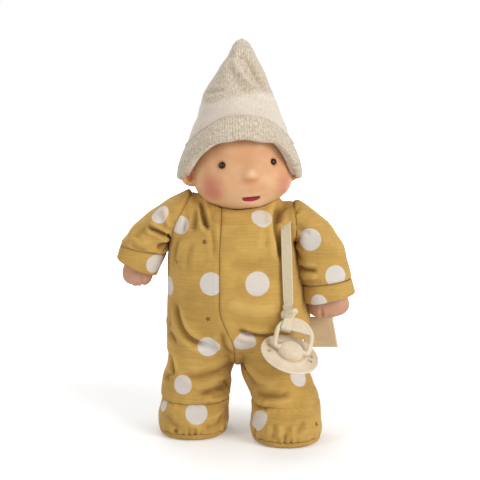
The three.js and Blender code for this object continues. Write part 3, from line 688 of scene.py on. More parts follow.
trunkRows = [
    (0, 2, 63, 28, 28, 12, 0, 2.3), (0, 2, 65, 39, 39, 21, 0, 2.3), (0, 2, 69.5, 46, 46, 28.5, 0, 2.3),
    (0, 1.2, 75, 50.3, 53.4, 33.5, 0, 2.3), (0, 0.4, 83, 51.3, 56.4, 36.4, 0, 2.3),
    (0, 0, 91, 51.5, 56.6, 37.2, 0, 2.3),
    (0, 0, 100, 51.5, 54.6, 37.2, 0, 2.3), (0, 0, 112, 51.5, 53, 37.2, 0, 2.3),
    (0, 0, 130, 52.2, 49.8, 36, 0, 2.3), (0, 0, 145.8, 51.4, 46.2, 34.4, 0, 2.3),
    (0, 0, 159.7, 44.8, 41.2, 32, 0, 2.3), (0, 0, 171, 39.1, 38.4, 29, 0, 2.3),
    (0, 0, 179.7, 33.5, 34, 25, 0, 2.3),
    (0, 0, 187, 25.8, 27.3, 21, 0, 2.3), (0, 0, 189, 20, 21, 16, 0, 2.3),
]


def hipRows(x, forward):
    return [
        (x, 1, 57, 18, 18, 17, 0, 2.3), (x, 0.5, 59, 22.5, 22.5, 22.5, 0, 2.3),
        (x, 0.3, 62, 25, 25, 26, 0, 2.3),
        (x, 0, 66, 25.9, 25.9, 27.4 + forward, 0, 2.3), (x, 0, 74, 25.6, 25.6, 28 + forward, 0, 2.3),
        (x, 1, 84, 22, 22, 24, 0, 2.3), (x, 1, 90, 12, 12, 14, 0, 2.3),
    ]


def makeTrunk():
    parts = [
        loftShell(trunkRows, 90, 200),
        loftShell(hipRows(-26.6, 0.5), 30, 110),
        loftShell(hipRows(26.0, 0.0), 30, 110),
        loftShell([(0, 3, 54.5, 2.5, 2.5, 8, 0, 2), (0, 3, 57, 6, 6, 17, 0, 2),
        (0, 2, 63, 10, 10, 24, 0, 2.2), (0, 2, 72, 14, 14, 26, 0, 2.2)], 20, 60),
    ]
    for side in ("right", "left"):
        rows = [rimRow(side, -20, 5), rimRow(side, -9, 1.2), rimRow(side, -3), rimRow(side, -0.4, 0.1),
            rimRow(side, 0.9, 1.3), rimRow(side, 1.0, 6)]
        parts.append(loftShell(rows, 26, 110))
    skin = merged(parts, bodyValues["voxel"], bodyValues["smoothing"])
    # the collar dips under the chin
    p = skin.points
    over = np.maximum(0, p[:, 2] - 162)
    front = smoothStep(-5, -19, p[:, 1]) * smoothStep(40, 25, np.abs(p[:, 0] - neckPivot[0]))
    p[:, 2] -= bodyValues["chinDip"] * over * smoothStep(0, 9, over) * front
    skin.points = outsideHead(p, bodyValues["collarGap"])
    return skin


trunk = makeTrunk()
print("trunk", len(trunk.points), "points")

trunkFolds = [
    # gathers that hang from the collar on the doll's right
    ([(200, 199), (202, 208), (204.5, 220), (208, 232)], 1.9, 2.6),
    ([(196, 199), (195, 215), (193, 233)], 2.4, 1.0),
    ([(188, 203), (186, 218), (183, 236)], 2.2, 0.8),
    ([(209, 210), (211, 226), (213.5, 246), (214, 262)], 2.0, 0.7),
    ([(179, 237), (175.5, 252), (173.5, 266)], 2.2, 1.0),
    ([(191, 241), (188, 258), (187, 272)], 2.6, 0.6),
    # the pull down to the hip and the crotch
    ([(174, 300), (177, 318), (183, 332), (193, 341), (207, 347)], 2.6, 1.7),
    ([(168, 318), (172, 334), (177, 346)], 2.4, 1.3),
    ([(221, 330), (224, 345), (233, 357)], 2.6, 1.1),
    # the doll's left: round the strap's top and over the thigh
    ([(283, 205), (277, 214), (276, 228), (280, 246), (282, 262)], 3.0, 2.2),
    ([(266, 226), (267.5, 238), (266, 250)], 2.6, 0.8),
    ([(236, 330), (250, 335), (264, 336.5), (280, 335)], 2.2, 2.0),
    ([(226, 303), (243, 309), (262, 311), (278, 307)], 5.0, -1.2),
    ([(226, 262), (245, 266), (270, 262)], 6.0, 0.6),
]
trunkCrease = foldRelief(trunk, trunkFolds)
trunk.push(trunkCrease)
belowCollar = smoothStep(186, 172, trunk.points[:, 2])
trunk.push(bodyValues["swell"] * ripple(trunk.points, (34, 34, 46), 3) * belowCollar)
behind = smoothStep(4, 16, trunk.points[:, 1])
trunk.push(1.0 * ripple(trunk.points, (17, 40, 60), 8) * behind * belowCollar)


def seamRoll(away, width=1.6, depth=0.55):
    # A sewn seam draws the cloth in along its line and leaves a soft roll on each side
    return -depth * bell(away, width) + 0.35 * depth * bell(np.abs(away) - 2.4 * width, width)


def frontSeamX(z):
    return -12 + 11 * smoothStep(104, 68, z) + 1.4 * smoothStep(140, 172, z)


p = trunk.points
facing = p[:, 1] < 4
frontAway = p[:, 0] - frontSeamX(p[:, 2])
roll = np.where(facing,
    seamRoll(frontAway, 1.3, 0.5) + 0.5 * smoothStep(-0.6, 0.6, frontAway) * smoothStep(14, 3, frontAway),
    0)
roll += np.where(~facing,
    seamRoll(p[:, 0], 1.3, 0.5) + 0.4 * smoothStep(-0.6, 0.6, p[:, 0]) * smoothStep(14, 3, p[:, 0]), 0)
roll += seamRoll(p[:, 1] - 4, 1.5, 0.6) * smoothStep(34, 42, np.abs(p[:, 0])) * smoothStep(150, 138,
    p[:, 2])
trunk.push(roll)
romperBody = restPlace(meshObject("romperBody", trunk))
bandAttribute(romperBody, "crease", trunkCrease)
trunkTree = trunk.tree()
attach(romperBody, "torso")
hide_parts("torso_stuffed", "suit_front_right", "suit_front_left", "suit_back_right",
    "suit_back_left",
            "closure_loop_tape", "closure_hook_tape")
print("romper body ready")

# Trouser legs: they hang from the body's hem
legPlans = {
    "right": {
        "x": -27.3,
        "rows": [
            (-31.3, -1.5, 26.2, 23.2, 23.2, 24.6), (-31.5, -1.5, 28.2, 25.3, 25.3, 26.8),
            (-31.4, -1.3, 31, 26, 26, 27.4),
            (-30.9, -1, 36, 25.8, 25.8, 27.3), (-30.3, -0.5, 43.2, 25.7, 25.7, 27.2),
            (-27.3, 0, 54, 25.5, 25.4, 27.2),
            (-26.9, 0, 63, 25.4, 25.2, 27.2), (-26.8, 0, 70, 24.4, 24.6, 27), (-26.8, 0, 77, 20.5, 21, 23),
            (-26.8, 0, 82, 13, 13, 15),
        ],
    },
    "left": {
        "x": 28.4,
        "rows": [
            (37.6, -11.5, 26.2, 23.2, 23.2, 24.4), (37.6, -11.5, 28.2, 25.3, 25.3, 26.8),
            (37, -10.2, 31, 26, 26, 27.4),
            (35.4, -7.5, 35, 26, 26, 27.6), (31.8, -3, 43.2, 25.8, 25.8, 27.4),
            (28.4, -0.3, 54, 25.4, 25.5, 27.2),
            (26.4, 0, 63, 24.6, 25.4, 27.0), (26.0, 0, 70, 24.0, 24.4, 26.4), (26.0, 0, 77, 20.5, 20.5, 22),
            (26.0, 0, 82, 13, 13, 14),
        ],
    },
}
legFolds = {
    "right": [
        ([(160, 352), (163, 368), (170, 383)], 2.0, 1.1),
        ([(171, 345), (172, 362), (176, 378)], 2.2, 0.8),
        ([(233, 362), (215, 372), (196, 377), (180, 372)], 3.2, 1.0),
        ([(232, 383), (220, 389), (206, 393), (196, 396)], 2.6, 1.5),
        ([(231, 374), (221, 378), (210, 381)], 2.4, -0.9),
        ([(231, 391), (219, 395), (209, 397)], 2.0, 1.0),
    ],
    "left": [
        ([(238, 357), (246, 371), (254, 383), (268, 390)], 3.0, 0.9),
        ([(245, 363), (256, 376), (270, 382), (283, 380)], 4.0, -0.7),
        ([(252, 391), (264, 396), (280, 396), (292, 390)], 2.6, 1.2),
        ([(243, 349), (252, 346), (262, 342), (270, 338)], 2.4, 1.2),
    ],
}

for side, plan in legPlans.items():
    shell = loftShell([(*row, 0, 2.3) for row in plan["rows"]], 86, 190)
    crease = foldRelief(shell, legFolds[side])
    shell.push(crease)
    low = smoothStep(60, 46, shell.points[:, 2])
    seed = 11 if side == "right" else 12
    shell.push(0.45 * ripple(shell.points, (24, 24, 15), seed) * smoothStep(27, 33, shell.points[:, 2])
        * smoothStep(78, 66, shell.points[:, 2]))
    # the cloth gathers where the leg is sewn to the foot
    turn = np.arctan2(shell.points[:, 1] - plan["rows"][1][1], shell.points[:, 0] - plan["rows"][1][0])
    pucker = np.sin(turn * 23 + 2 * np.sin(turn * 5)) * bell(shell.points[:, 2] - 29.5, 4.5)
    shell.push(0.3 * pucker)
    outer = (shell.points[:, 0] - plan["x"]) * (-1 if side == "right" else 1)
    shell.push(seamRoll(shell.points[:, 1] - 4, 1.4, 0.5) * smoothStep(10, 20, outer))
    trouser = restPlace(meshObject("trouserLeg_" + side, shell))
    bandAttribute(trouser, "crease", crease)
    plan["shell"], plan["tree"] = shell, shell.tree()
    tuple(toRow((plan["x"], 0, 80)))
    tuple(toRow((plan["x"], 0, 52)))
    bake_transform(trouser)
    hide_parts("trouser_leg_" + side, "leg_stuffed_" + side)
print("trouser legs ready")

# Feet: an upper that bulges over a gathered seam, and a sole with a soft rim
footPlans = {
    "right": {"foot": (-33.2, 0.5), "ankle": (-31.5, -1.5)},
    "left": {"foot": (38.2, -17.5), "ankle": (37.6, -11.5)},
}
footFolds = {
    "right": [
        ([(228, 413), (222, 421), (211, 427), (200, 429)], 3.0, 0.9),
        ([(230, 404), (224, 412), (219, 424)], 2.4, 0.8),
        ([(186, 423), (196, 426), (205, 433)], 3.0, -0.6),
        ([(166, 414), (172, 424), (180, 431)], 2.6, 0.7),
    ],
    "left": [
        ([(254, 402), (262, 407), (274, 404), (284, 397)], 3.0, 0.9),
        ([(272, 440), (274, 431), (273, 423)], 2.2, 0.8),
        ([(284, 441), (287, 432), (288, 425)], 2.2, 0.8),
        ([(297, 436), (301, 428), (305, 420)], 2.4, 0.8),
        ([(250, 437), (256, 428)], 2.2, 0.7),
    ],
}
for side, plan in footPlans.items():
    (fx, fy), (ax, ay) = plan["foot"], plan["ankle"]
    rows = [
        (fx, fy, 4.0, 23.8, 23.8, 28.6), (fx, fy, 5.2, 26.2, 26.2, 31.0), (fx, fy, 7.4, 27.0, 27.0, 31.9),
        (fx, fy, 12, 27.3, 27.3, 32.3), (fx + (ax - fx) * 0.1, fy + (ay - fy) * 0.1, 16, 26.9, 26.9, 31.8),
        (fx + (ax - fx) * 0.4, fy + (ay - fy) * 0.4, 21, 26.3, 26.3, 30.2), (ax, ay, 26, 25.8, 25.8, 27.6),
        (ax, ay, 28, 24.4, 24.4, 26.0), (ax, ay, 28.6, 20, 20, 21),
    ]
    shell = loftShell([(*row, 0, 2.3) for row in rows], 60, 220)
    crease = foldRelief(shell, footFolds[side])
    shell.push(crease)
    z = shell.points[:, 2]
    turn = np.arctan2(shell.points[:, 1] - fy, shell.points[:, 0] - fx)
    gather = np.sin(turn * 31 + 3 * np.sin(turn * 4)) * (0.6 + 0.4 * np.sin(turn * 7))
    puckers = 0.85 * gather * bell(z - 6, 4.5)
    crease = crease + puckers
    shell.push(puckers + 0.25 * np.sin(turn * 27) * bell(z - 27, 2.5))
    shell.push(0.5 * ripple(shell.points, (26, 26, 16), 21 if side == "right" else 22)
        * smoothStep(6, 11, z))
    upper = restPlace(meshObject("footUpper_" + side, shell))
    bandAttribute(upper, "crease", crease)
    plan["tree"] = shell.tree()
    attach(upper, "leg_" + side)
    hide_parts("foot_upper_" + side)

    rows = [
        (fx, fy, 0.0, 18, 18, 23), (fx, fy, 0.05, 22.4, 22.4, 27.2), (fx, fy, 0.7, 24.6, 24.6, 29.4),
        (fx, fy, 2.2, 26.1, 26.1, 30.9),
        (fx, fy, 4.0, 26.3, 26.3, 31.1), (fx, fy, 5.3, 25.2, 25.2, 30.0), (fx, fy, 5.6, 21, 21, 26),
    ]
    shell = loftShell([(*row, 0, 2.3) for row in rows], 26, 220)
    z = shell.points[:, 2]
    turn = np.arctan2(shell.points[:, 1] - fy, shell.points[:, 0] - fx)
    gather = np.sin(turn * 31 + 3 * np.sin(turn * 4)) * (0.6 + 0.4 * np.sin(turn * 7))
    shell.push(0.35 * gather * bell(z - 4.5, 1.6))
    sole = restPlace(meshObject("footSole_" + side, shell))
    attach(sole, "leg_" + side)
    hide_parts("sole_" + side)
print("feet ready")

# Sleeves run from the armholes to the cuff seams, in the arms' photographed bend
sleevePlans = {
    "right": {
        "path": [(-9, 0, -2.5, 16.3, 19, 82.7), (-16.4, 0, -8, 13.2, 18.3, 114),
        (-25.8, 0, -18.2, 15.1, 17.6, 161.4), (-28.7, 0, -25, 17.2, 17, 169)],
        "cuffEnd": (-34.5, 0, -38.4, 16.4, 16.4, 154.2),
        "touch": [((164, 240), 9.0, 3.6)],
        "wrist": (-31.8, 0, -31.5), "handLean": 8.0, "handWidth": 23.5, "handDepth": 17.0,
        "folds": [
            ([(145, 225), (152, 229), (161, 233.5), (169, 238)], 1.7, 1.9),
            ([(155, 248), (162, 245.5), (169, 241)], 2.6, 1.5),
            ([(134, 240), (139, 232), (147, 229)], 4.5, 0.9),
            ([(130, 243), (137, 249), (147, 252)], 2.2, 0.7),
            ([(163, 208), (167, 220), (170, 230)], 2.2, -0.7),
        ],
    },
    "left": {
        "path": [(8.4, -1, -4.4, 14.2, 17.7, -109.3), (14.8, -2, -11.4, 15, 18.2, -142),
        (20.9, -4, -27.3, 18.5, 18.6, -168.4), (24.8, -6, -44.1, 18.3, 18, -171.2)],
        "cuffEnd": (26.7, -7, -56.8, 19.1, 18.6, -168.7),
        "touch": [((306, 268), 18.0, 3.2), ((298, 240), 8.0, 1.8)],
        "wrist": (25.2, -6.5, -52), "handLean": -7.0, "handWidth": 31.5, "handDepth": 17.0,
        "folds": [
            ([(296, 233), (297, 246), (300, 258), (304, 268)], 2.6, 1.0),
            ([(299, 266), (307, 270), (318, 271.5)], 2.2, 1.6),
            ([(301, 277), (309, 277), (320, 275)], 2.4, -0.6),
            ([(292, 216), (298, 209), (304, 206)], 2.2, 0.8),
            ([(296, 226), (303, 231), (311, 233)], 2.2, 0.6),
            ([(325, 222), (331, 233), (336, 247)], 4.0, 0.5),
        ],
    },
}


def armRow(side, row, grow=0.0, slide=0.0):
    x, y, z, across, depth, lean = row
    turn = math.radians(lean)
    at = armholeList[side]["centre"] + np.array([x - math.sin(turn) * slide, y, z + math.cos(turn) * slide])
    return (*at, across + grow, across + grow, depth + grow, lean, 2.3)


for side, plan in sleevePlans.items():
    hole = armholeList[side]
    last = plan["path"][-1]
    rows = [rimRow(side, -1.2, 4.0), rimRow(side, 0.3, 1.7), rimRow(side, 1.6, 0.2),
        rimRow(side, 3.6, -0.25)]
    rows += [armRow(side, row, 0.2) for row in plan["path"][:-1]]
    rows += [armRow(side, last, 0.5, -1.5), armRow(side, last, -0.9, 0.3), armRow(side, last, -4, 0.6)]
    shell = loftShell(rows, 84, 180)
    crease = foldRelief(shell, plan["folds"])
    shell.push(crease)
    lean = math.radians(hole["lean"])
    outward = np.array([-math.sin(lean), 0, math.cos(lean)])
    fromHole = (shell.points - hole["centre"]) @ outward
    cuffTurn = math.radians(last[5])
    cuffAxis = np.array([-math.sin(cuffTurn), 0, math.cos(cuffTurn)])
    toCuff = (hole["centre"] + np.array(last[:3]) - shell.points) @ cuffAxis
    seed = 31 if side == "right" else 34
    shell.push(0.6 * ripple(shell.points, (22, 22, 20), seed) * smoothStep(2, 8, fromHole)
        * smoothStep(1, 6, toCuff))
    for (px, py), reach, height in plan["touch"]:
        spot = onSurface(shell.tree(), [(px, py)])[0]
        inward = (spot[0] < 0) * 2 - 1
        spot[1] = hole["centre"][1]
        nearSpot = np.exp(-np.sum(((shell.points - spot) / (14, 14, reach)) ** 2, axis=1))
        shell.points[:, 0] += inward * height * nearSpot
    # fullness eased into both seams
    spin = np.arctan2(shell.points[:, 1] - hole["centre"][1],
        (shell.points - hole["centre"]) @ np.array([math.cos(lean), 0, math.sin(lean)]))
    shell.push(0.3 * np.sin(spin * 19 + 2 * np.sin(3 * spin)) * bell(fromHole - 3.5, 3))
    shell.push(0.22 * np.sin(spin * 17) * bell(toCuff - 2.5, 2.5))
    sleeve = restPlace(meshObject("sleeveCloth_" + side, shell))
    bandAttribute(sleeve, "crease", crease)
    bandAttribute(sleeve, "seamAway", np.clip(np.minimum(toCuff + 0.3, fromHole - 1.0), -30, 30))
    plan["tree"] = shell.tree()
    begin, stop = hole["centre"] + outward * 1.5, hole["centre"] + outward * 15
    tuple(toRow(begin))
    tuple(toRow(stop))
    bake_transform(sleeve)
    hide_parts("sleeve_" + side, "arm_stuffed_" + side, "wrist_tie_" + side)

    # a corded seam lies in the groove between body and sleeve
    rows = []
    for offset, draw in ((0.35, 2.2), (0.15, 1.2), (0.55, 0.75), (1.15, 0.75), (1.55, 1.2), (1.35, 2.2)):
        rows.append(rimRow(side, offset, draw))
    tape = loftShell(rows, 14, 180)
    spin = np.arange(len(tape.points)) % 180 / 180 * 2 * math.pi
    tape.push(0.08 * np.sin(spin * 90))
    binding = restPlace(meshObject("armholeSeam_" + side, tape))
    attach(binding, "shoulder_" + side)
    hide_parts("armhole_tape_" + side)

    # the cuff is a doubled band: down outside, round its edge and back up inside
    end = plan["cuffEnd"]
    rows = [
        armRow(side, last, -2.4, -0.8), armRow(side, last, -0.3, -0.1), armRow(side, last, 0.55, 1.2),
        armRow(side, end, 0.5, -2.0), armRow(side, end, 0.35, -0.2), armRow(side, end, -0.5, 0.35),
        armRow(side, end, -1.6, 0.0), armRow(side, end, -2.2, -2.0), armRow(side, last, -2.8, 3.0),
        armRow(side, last, -5.5, 1.6),
    ]
    shell = loftShell(rows, 70, 190)
    mid = (hole["centre"] + np.array(end[:3]) + hole["centre"] + np.array(last[:3])) / 2
    spin = np.arctan2(shell.points[:, 1] - mid[1], shell.points[:, 0] - mid[0])
    shell.push(0.25 * ripple(shell.points, (18, 18, 18), seed + 1))
    turn = math.radians(end[5])
    fromEnd = shell.points - hole["centre"] - np.array(end[:3])
    lip = bell(fromEnd @ np.array([-math.sin(turn), 0, math.cos(turn)]), 4)
    shell.push(0.35 * np.sin(spin * 3 + 1) * lip)
    cuff = restPlace(meshObject("cuffCloth_" + side, shell))
    cuffTop = (shell.points - hole["centre"] - np.array(last[:3])) @ cuffAxis
    bandAttribute(cuff, "seamAway",
        np.clip(np.where(np.arange(len(cuffTop)) < 190 * 42, cuffTop - 0.2, 30), -30, 30))
    plan["cuffTree"] = shell.tree()
    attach(cuff, "arm_" + side)
    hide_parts("cuff_" + side)
print("sleeves and cuffs ready")


# Hands: vinyl mittens with shallow fingers and a thumb towards the body
def handFrame(side):
    plan = sleevePlans[side]
    turn = math.pi + math.radians(plan["handLean"])
    axes = np.array([[math.cos(turn), 0, math.sin(turn)], [0, 1, 0], [-math.sin(turn), 0, math.cos(turn)]])
    return armholeList[side]["centre"] + np.array(plan["wrist"]), axes


handProfile = [(-0.3, 0.5, 0.72), (-0.1, 0.52, 0.76), (0.02, 0.62, 0.84), (0.15, 0.78, 0.9),
    (0.35, 0.95, 0.98), (0.55, 1, 1), (0.74, 0.94, 0.93),
               (0.88, 0.76, 0.74), (0.96, 0.5, 0.5), (1.0, 0.22, 0.24), (1.005, 0.05, 0.05)]
handValues = {"reach": {"right": 23, "left": 21}, "fingerMark": {"right": 0.5, "left": 0.25},
    "thumbMark": 1.2}
for side in ("right", "left"):
    plan = sleevePlans[side]
    half, thick = plan["handWidth"] / 2, plan["handDepth"] / 2
    reach = handValues["reach"][side]
    rows = [(0, 0, h * reach, a * half, a * half, b * thick, 0, 2.25) for h, a, b in handProfile]
    shell = loftShell(rows, 70, 140)
    p = shell.points
    bodySide = -1.0 if side == "right" else 1.0
    thumbAt = bodySide * 0.42 * half
    low = smoothStep(9, 16, p[:, 2])
    relief = -handValues["thumbMark"] * bell(p[:, 0] - thumbAt, 1.3) * low
    for place in (-0.12, 0.3):
        fromMark = p[:, 0] + bodySide * place * half * 1.1
        mark = handValues["fingerMark"][side] * bell(fromMark, 1.1)
        relief -= mark * smoothStep(12, 19, p[:, 2])
    tuck = smoothStep(2.0, 0.0, np.abs(p[:, 2] - 3)) * 0.3
    shell.push(relief - tuck)
    spot, axes = handFrame(side)
    hand = placedObject("handVinyl_" + side, shell, lambda local: local @ axes.T + spot)
    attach(hand, "hand_" + side)
    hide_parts("hand_" + side)
print("hands ready")

# Head: a moulded vinyl form with full cheeks, a low brow, a button nose and an open mouth
faceValues = {
    "eyes": [(221, 165), (274.9, 161.4)], "nose": (250.0, 175.0), "mouth": (251, 198.6),
    "lowerLip": (250.6, 205.2),
    "blush": [(212.5, 189), (283.5, 184)], "brow": (250, 156.5),
    "noseSize": 5.9, "noseHeight": 3.7, "mouthHalf": 6.6, "mouthDepth": 1.3,
}


def makeHead():
    v = headValues
    table = [(0, 0, h * v["height"] - v["chinDrop"], r * v["width"] / 2, r * v["width"] / 2,
        r * v["depth"] / 2, 0, 2.0) for h, r in headProfile]
    shell = loftShell(table, 210, 320, start=math.pi / 2)
    shell.soften(12)
    return shell


headShell = makeHead()
baseHead = Shell(headPlace(headShell.points), headShell.faces).tree()


def faceSpots(pixels):
    return headLocal(onSurface(baseHead, pixels))


eyeSpots = faceSpots(faceValues["eyes"])
noseSpot, mouthSpot, lipSpot, browSpot = faceSpots([faceValues[k]
    for k in ("nose", "mouth", "lowerLip", "brow")])
blushSpots = faceSpots(faceValues["blush"])


def mound(points, spot, wide, tall):
    offset = points - spot
    return np.exp(-(offset[:, 0] / wide) ** 2 - (offset[:, 2] / tall) ** 2) * smoothStep(0, -12,
        points[:, 1])


def sculptFace(shell):
    p = shell.points
    relief = -2.2 * mound(p, browSpot, 20, 5.5)
    for k in (0, 1):
        relief -= 1.2 * mound(p, eyeSpots[k], 7.5, 5.5)
        relief += 2.0 * mound(p, blushSpots[k] + np.array([0, 0, -2]), 12, 10)
    relief += 0.9 * mound(p, browSpot + np.array([0, 0, 14]), 22, 9)
    relief += 0.8 * mound(p, mouthSpot, 15, 10)
    shell.push(relief)
    p = shell.points
    relief = 0.85 * mound(p, noseSpot + np.array([0, 0, 5]), 4.4, 6)
    off = p - noseSpot
    radius = np.hypot(off[:, 0] / faceValues["noseSize"],
        (off[:, 2] - 0.3) / (faceValues["noseSize"] * 0.82))
    front = smoothStep(0, -12, p[:, 1])
    relief += faceValues["noseHeight"] * np.exp(-(radius * 1.05) ** 2.4) * front
    relief -= 0.5 * np.exp(-((off[:, 2] + 4.6) / 1.3) ** 2 - (off[:, 0] / 4.6) ** 2) * front
    off = p - mouthSpot
    u = off[:, 0] / faceValues["mouthHalf"]
    slant = 0.05 * off[:, 0]
    top = 1.35 + slant * 0.5
    bottom = -2.35 * np.sqrt(np.clip(1 - u**2, 0, 1)) + slant * 0.5
    inside = smoothStep(1.12, 0.86, np.abs(u)) * smoothStep(top + 0.5, top - 0.3,
        off[:, 2]) * smoothStep(bottom - 0.9, bottom + 0.7, off[:, 2])
    relief -= faceValues["mouthDepth"] * inside * front
    relief += 0.55 * np.exp(-((off[:, 0]) / 6.2) ** 2 - ((off[:, 2] - top - 1.3) / 1.1) ** 2) * front
    relief += 0.75 * np.exp(-((p[:, 0] - lipSpot[0]) / 5.0) ** 2
        - ((p[:, 2] - lipSpot[2]) / 1.4) ** 2) * front
    relief -= 0.4 * np.exp(-((p[:, 0] - lipSpot[0]) / 7.0) ** 2
        - ((p[:, 2] - lipSpot[2] + 3.2) / 1.5) ** 2) * front
    for spot in eyeSpots:
        d = np.linalg.norm(p - spot, axis=1)
        relief -= 1.1 * bell(d, 3.1) - 0.35 * bell(d - 4.2, 1.3)
    shell.push(relief)
    return shell


sculptFace(headShell)
headVinyl = placedObject("headVinyl", headShell, headPlace)
headTree = headShell.tree()
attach(headVinyl, "head")
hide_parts("head_shell")

earValues = {"reach": 9.4, "depth": 3.6, "half": 7.6, "forward": -4.0,
             "level": {"right": 23.0, "left": 21.0}, "shift": {"right": -0.1, "left": 2.4}}
for side, sign in (("right", -1), ("left", 1)):
    v = earValues
    rings, columns = 60, 90
    points = ballPoints(rings, columns, 0.02) * np.array([v["reach"], v["depth"], v["half"]])
    faces = gridFaces(rings, columns)
    low, high = len(points), len(points) + 1
    faces += [(low, (k + 1) % columns, k)
        for k in range(columns)] + [(high, (rings - 1) * columns + k,
        (rings - 1) * columns + (k + 1) % columns) for k in range(columns)]
    points = np.vstack([points, [0, 0, -v["half"]], [0, 0, v["half"]]])
    ear = Shell(points, faces)
    out = ear.points[:, 0] * sign
    hollow = np.hypot((out - 2.6) / 2.6, (ear.points[:, 2] - 0.6) / 4.2)
    frontSide = smoothStep(0.4, -1.2, ear.points[:, 1])
    ear.points[:, 1] += 3.3 * np.exp(-hollow**2.4) * frontSide
    ear.points[:, 1] -= 0.7 * smoothStep(4, 7, out)
    ear.points = ear.points + np.array([sign * (headValues["width"] / 2) - v["shift"][side], v["forward"],
        v["level"][side]])
    thing = placedObject("ear_" + side, ear, headPlace)
    bandAttribute(thing, "hollow", np.exp(-hollow**2) * frontSide)
    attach(thing, "head")

# Eyes: polished beads set in the vinyl
beadValues = {"radius": 2.4, "sink": 0.3}
for side, spot in zip(("right", "left"), eyeSpots):
    hit = headTree.find_nearest(Vector(headPlace(spot)))
    middle, normal = headLocal(np.array(hit[0])), np.array(hit[1]) @ headTurn
    if normal[1] > 0:
        normal = -normal
    middle = middle - normal * (beadValues["sink"] - 0.9)
    rings, columns = 34, 48
    unit = ballPoints(rings, columns, 0.01)
    along = unit @ normal
    flat = unit - 0.22 * np.clip(along, 0, 1)[:, None] ** 3 * normal
    bead = Shell(headPlace(middle + flat * beadValues["radius"]), gridFaces(rings, columns))
    thing = restPlace(meshObject("eyeBead_" + side, bead))
    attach(thing, "head")
    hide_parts("eye_" + side)
print("head ready")

# Hat: an upright knit cone with a smooth turned band, and a ribbed brim folded up round it
hatValues = {"height": 107.0, "width": 85.0, "lean": 12.0, "power": 2.05, "knit": 3.0, "bandSwell": 0.45}
hatProfile = [
    (0, 1), (0.1, 0.985), (0.21, 0.95), (0.32, 0.88), (0.4, 0.8), (0.47, 0.715), (0.53, 0.68),
    (0.61, 0.625),
    (0.68, 0.535), (0.79, 0.385), (0.88, 0.255), (0.94, 0.185), (0.97, 0.14), (0.99, 0.09), (1, 0.03),
]
hatLevels = np.array([h for h, _ in hatProfile])
hatRadii = np.array([r for _, r in hatProfile])
hatBase = neckPivot[2] + 15.0


def hatMiddle(h):
    # Where the hat's middle is at a share of its height: it sways to the side and leans back
    sway = -3 + 1.5 * h - 1.8 * bell(h - 0.56, 0.26)
    lean = np.maximum(0, h - 0.25) ** 1.6 * hatValues["lean"] * 1.58
    return neckPivot[0] + sway, lean


def hatPoint(turn, z, grow):
    # A place on the hat: turn is 0 in front and runs to the doll's left
    h = np.clip((z - hatBase) / hatValues["height"], -0.2, 1)
    shares = throughPoints(hatLevels, hatRadii, np.clip(h, 0, 1).ravel()).reshape(np.shape(h))
    radius = shares * hatValues["width"] / 2 + grow
    c, s = np.cos(turn), np.sin(turn)
    u = np.sign(s) * np.abs(s) ** (2 / hatValues["power"])
    v = np.sign(c) * np.abs(c) ** (2 / hatValues["power"])
    middleX, middleY = hatMiddle(h)
    return np.stack([middleX + u * radius, middleY - v * radius, z + 0 * u], -1)


def hatWay(spot):
    # The way round the hat of a place on it, in degrees
    middleX, middleY = hatMiddle((spot[2] - hatBase) / hatValues["height"])
    u, v = spot[0] - middleX, middleY - spot[1]
    power = hatValues["power"] / 2
    return math.degrees(math.atan2(np.sign(u) * abs(u) ** power, np.sign(v) * abs(v) ** power))


# The hat's edges: pixels that each passes in the camera's picture, how far over the hat's form its cloth is,
# and, where the picture doesn't show it, its height in millimetres by the way round in degrees
hatEdges = {
    "brimLow": {
        "over": 2.4,
        "pixels": [
            (187, 171), (189.5, 167.3), (192, 164), (196, 159.8), (200, 156.4), (205, 152.9), (209, 149.4),
            (213.5, 146.3),
            (218, 144), (223, 142.8), (230, 142), (236, 140.5), (242.5, 139.8), (250, 140.3), (256, 141.5),
            (262.5, 142.5),
            (268.5, 142.8), (273.5, 143.4), (278, 146.2), (282, 150), (285, 153.3), (288, 157.5),
            (290.5, 161.5),
            (292.5, 165), (294.5, 170)],
        "unseen": [(-180, 194.5), (-110, 195), (-80, 196), (76, 198), (110, 195), (180, 194.5)],
    },
    "brimHigh": {
        "over": 3.6,
        "pixels": [
            (188.5, 138.8), (198, 131.2), (207.5, 126), (216, 121), (226.5, 117.5), (241.5, 115.4),
            (258.5, 117.2),
            (266, 119), (274, 122), (282, 127.4), (289, 133.5)],
        "unseen": [(-180, 216), (-110, 219), (-85, 222.5), (80, 226), (95, 222), (120, 218.5), (180, 216)],
    },
    "band": {
        "over": 1.0,
        "pixels": [(200.8, 103), (210, 101.5), (222.6, 99.3), (241.6, 96.4), (258.7, 92.6), (272, 92.6)],
        "unseen": [(-180, 240), (-110, 246), (-85, 251), (85, 256), (120, 247), (180, 240)],
    },
}
formColumns, formRings = 360, 160


def hatForm(over):
    # The hat's plain form as a surface, so much larger all round
    levels = np.linspace(hatBase - 5, hatBase + hatValues["height"], formRings)
    turn, z = np.meshgrid(np.radians(np.arange(formColumns)), levels)
    return Shell(hatPoint(turn, z, over), gridFaces(formRings, formColumns)).tree()


def edgeHeights(edge, turn):
    seen = [(hatWay(spot), spot[2]) for spot in onSurface(hatForm(edge["over"]), edge["pixels"])]
    ways, zs = np.array(sorted(seen + edge["unseen"])).T
    return throughPoints(ways, zs, np.clip(np.degrees(turn), -180, 180))


hatColumns = 330
hatTurn = np.linspace(-math.pi, math.pi, hatColumns + 1)


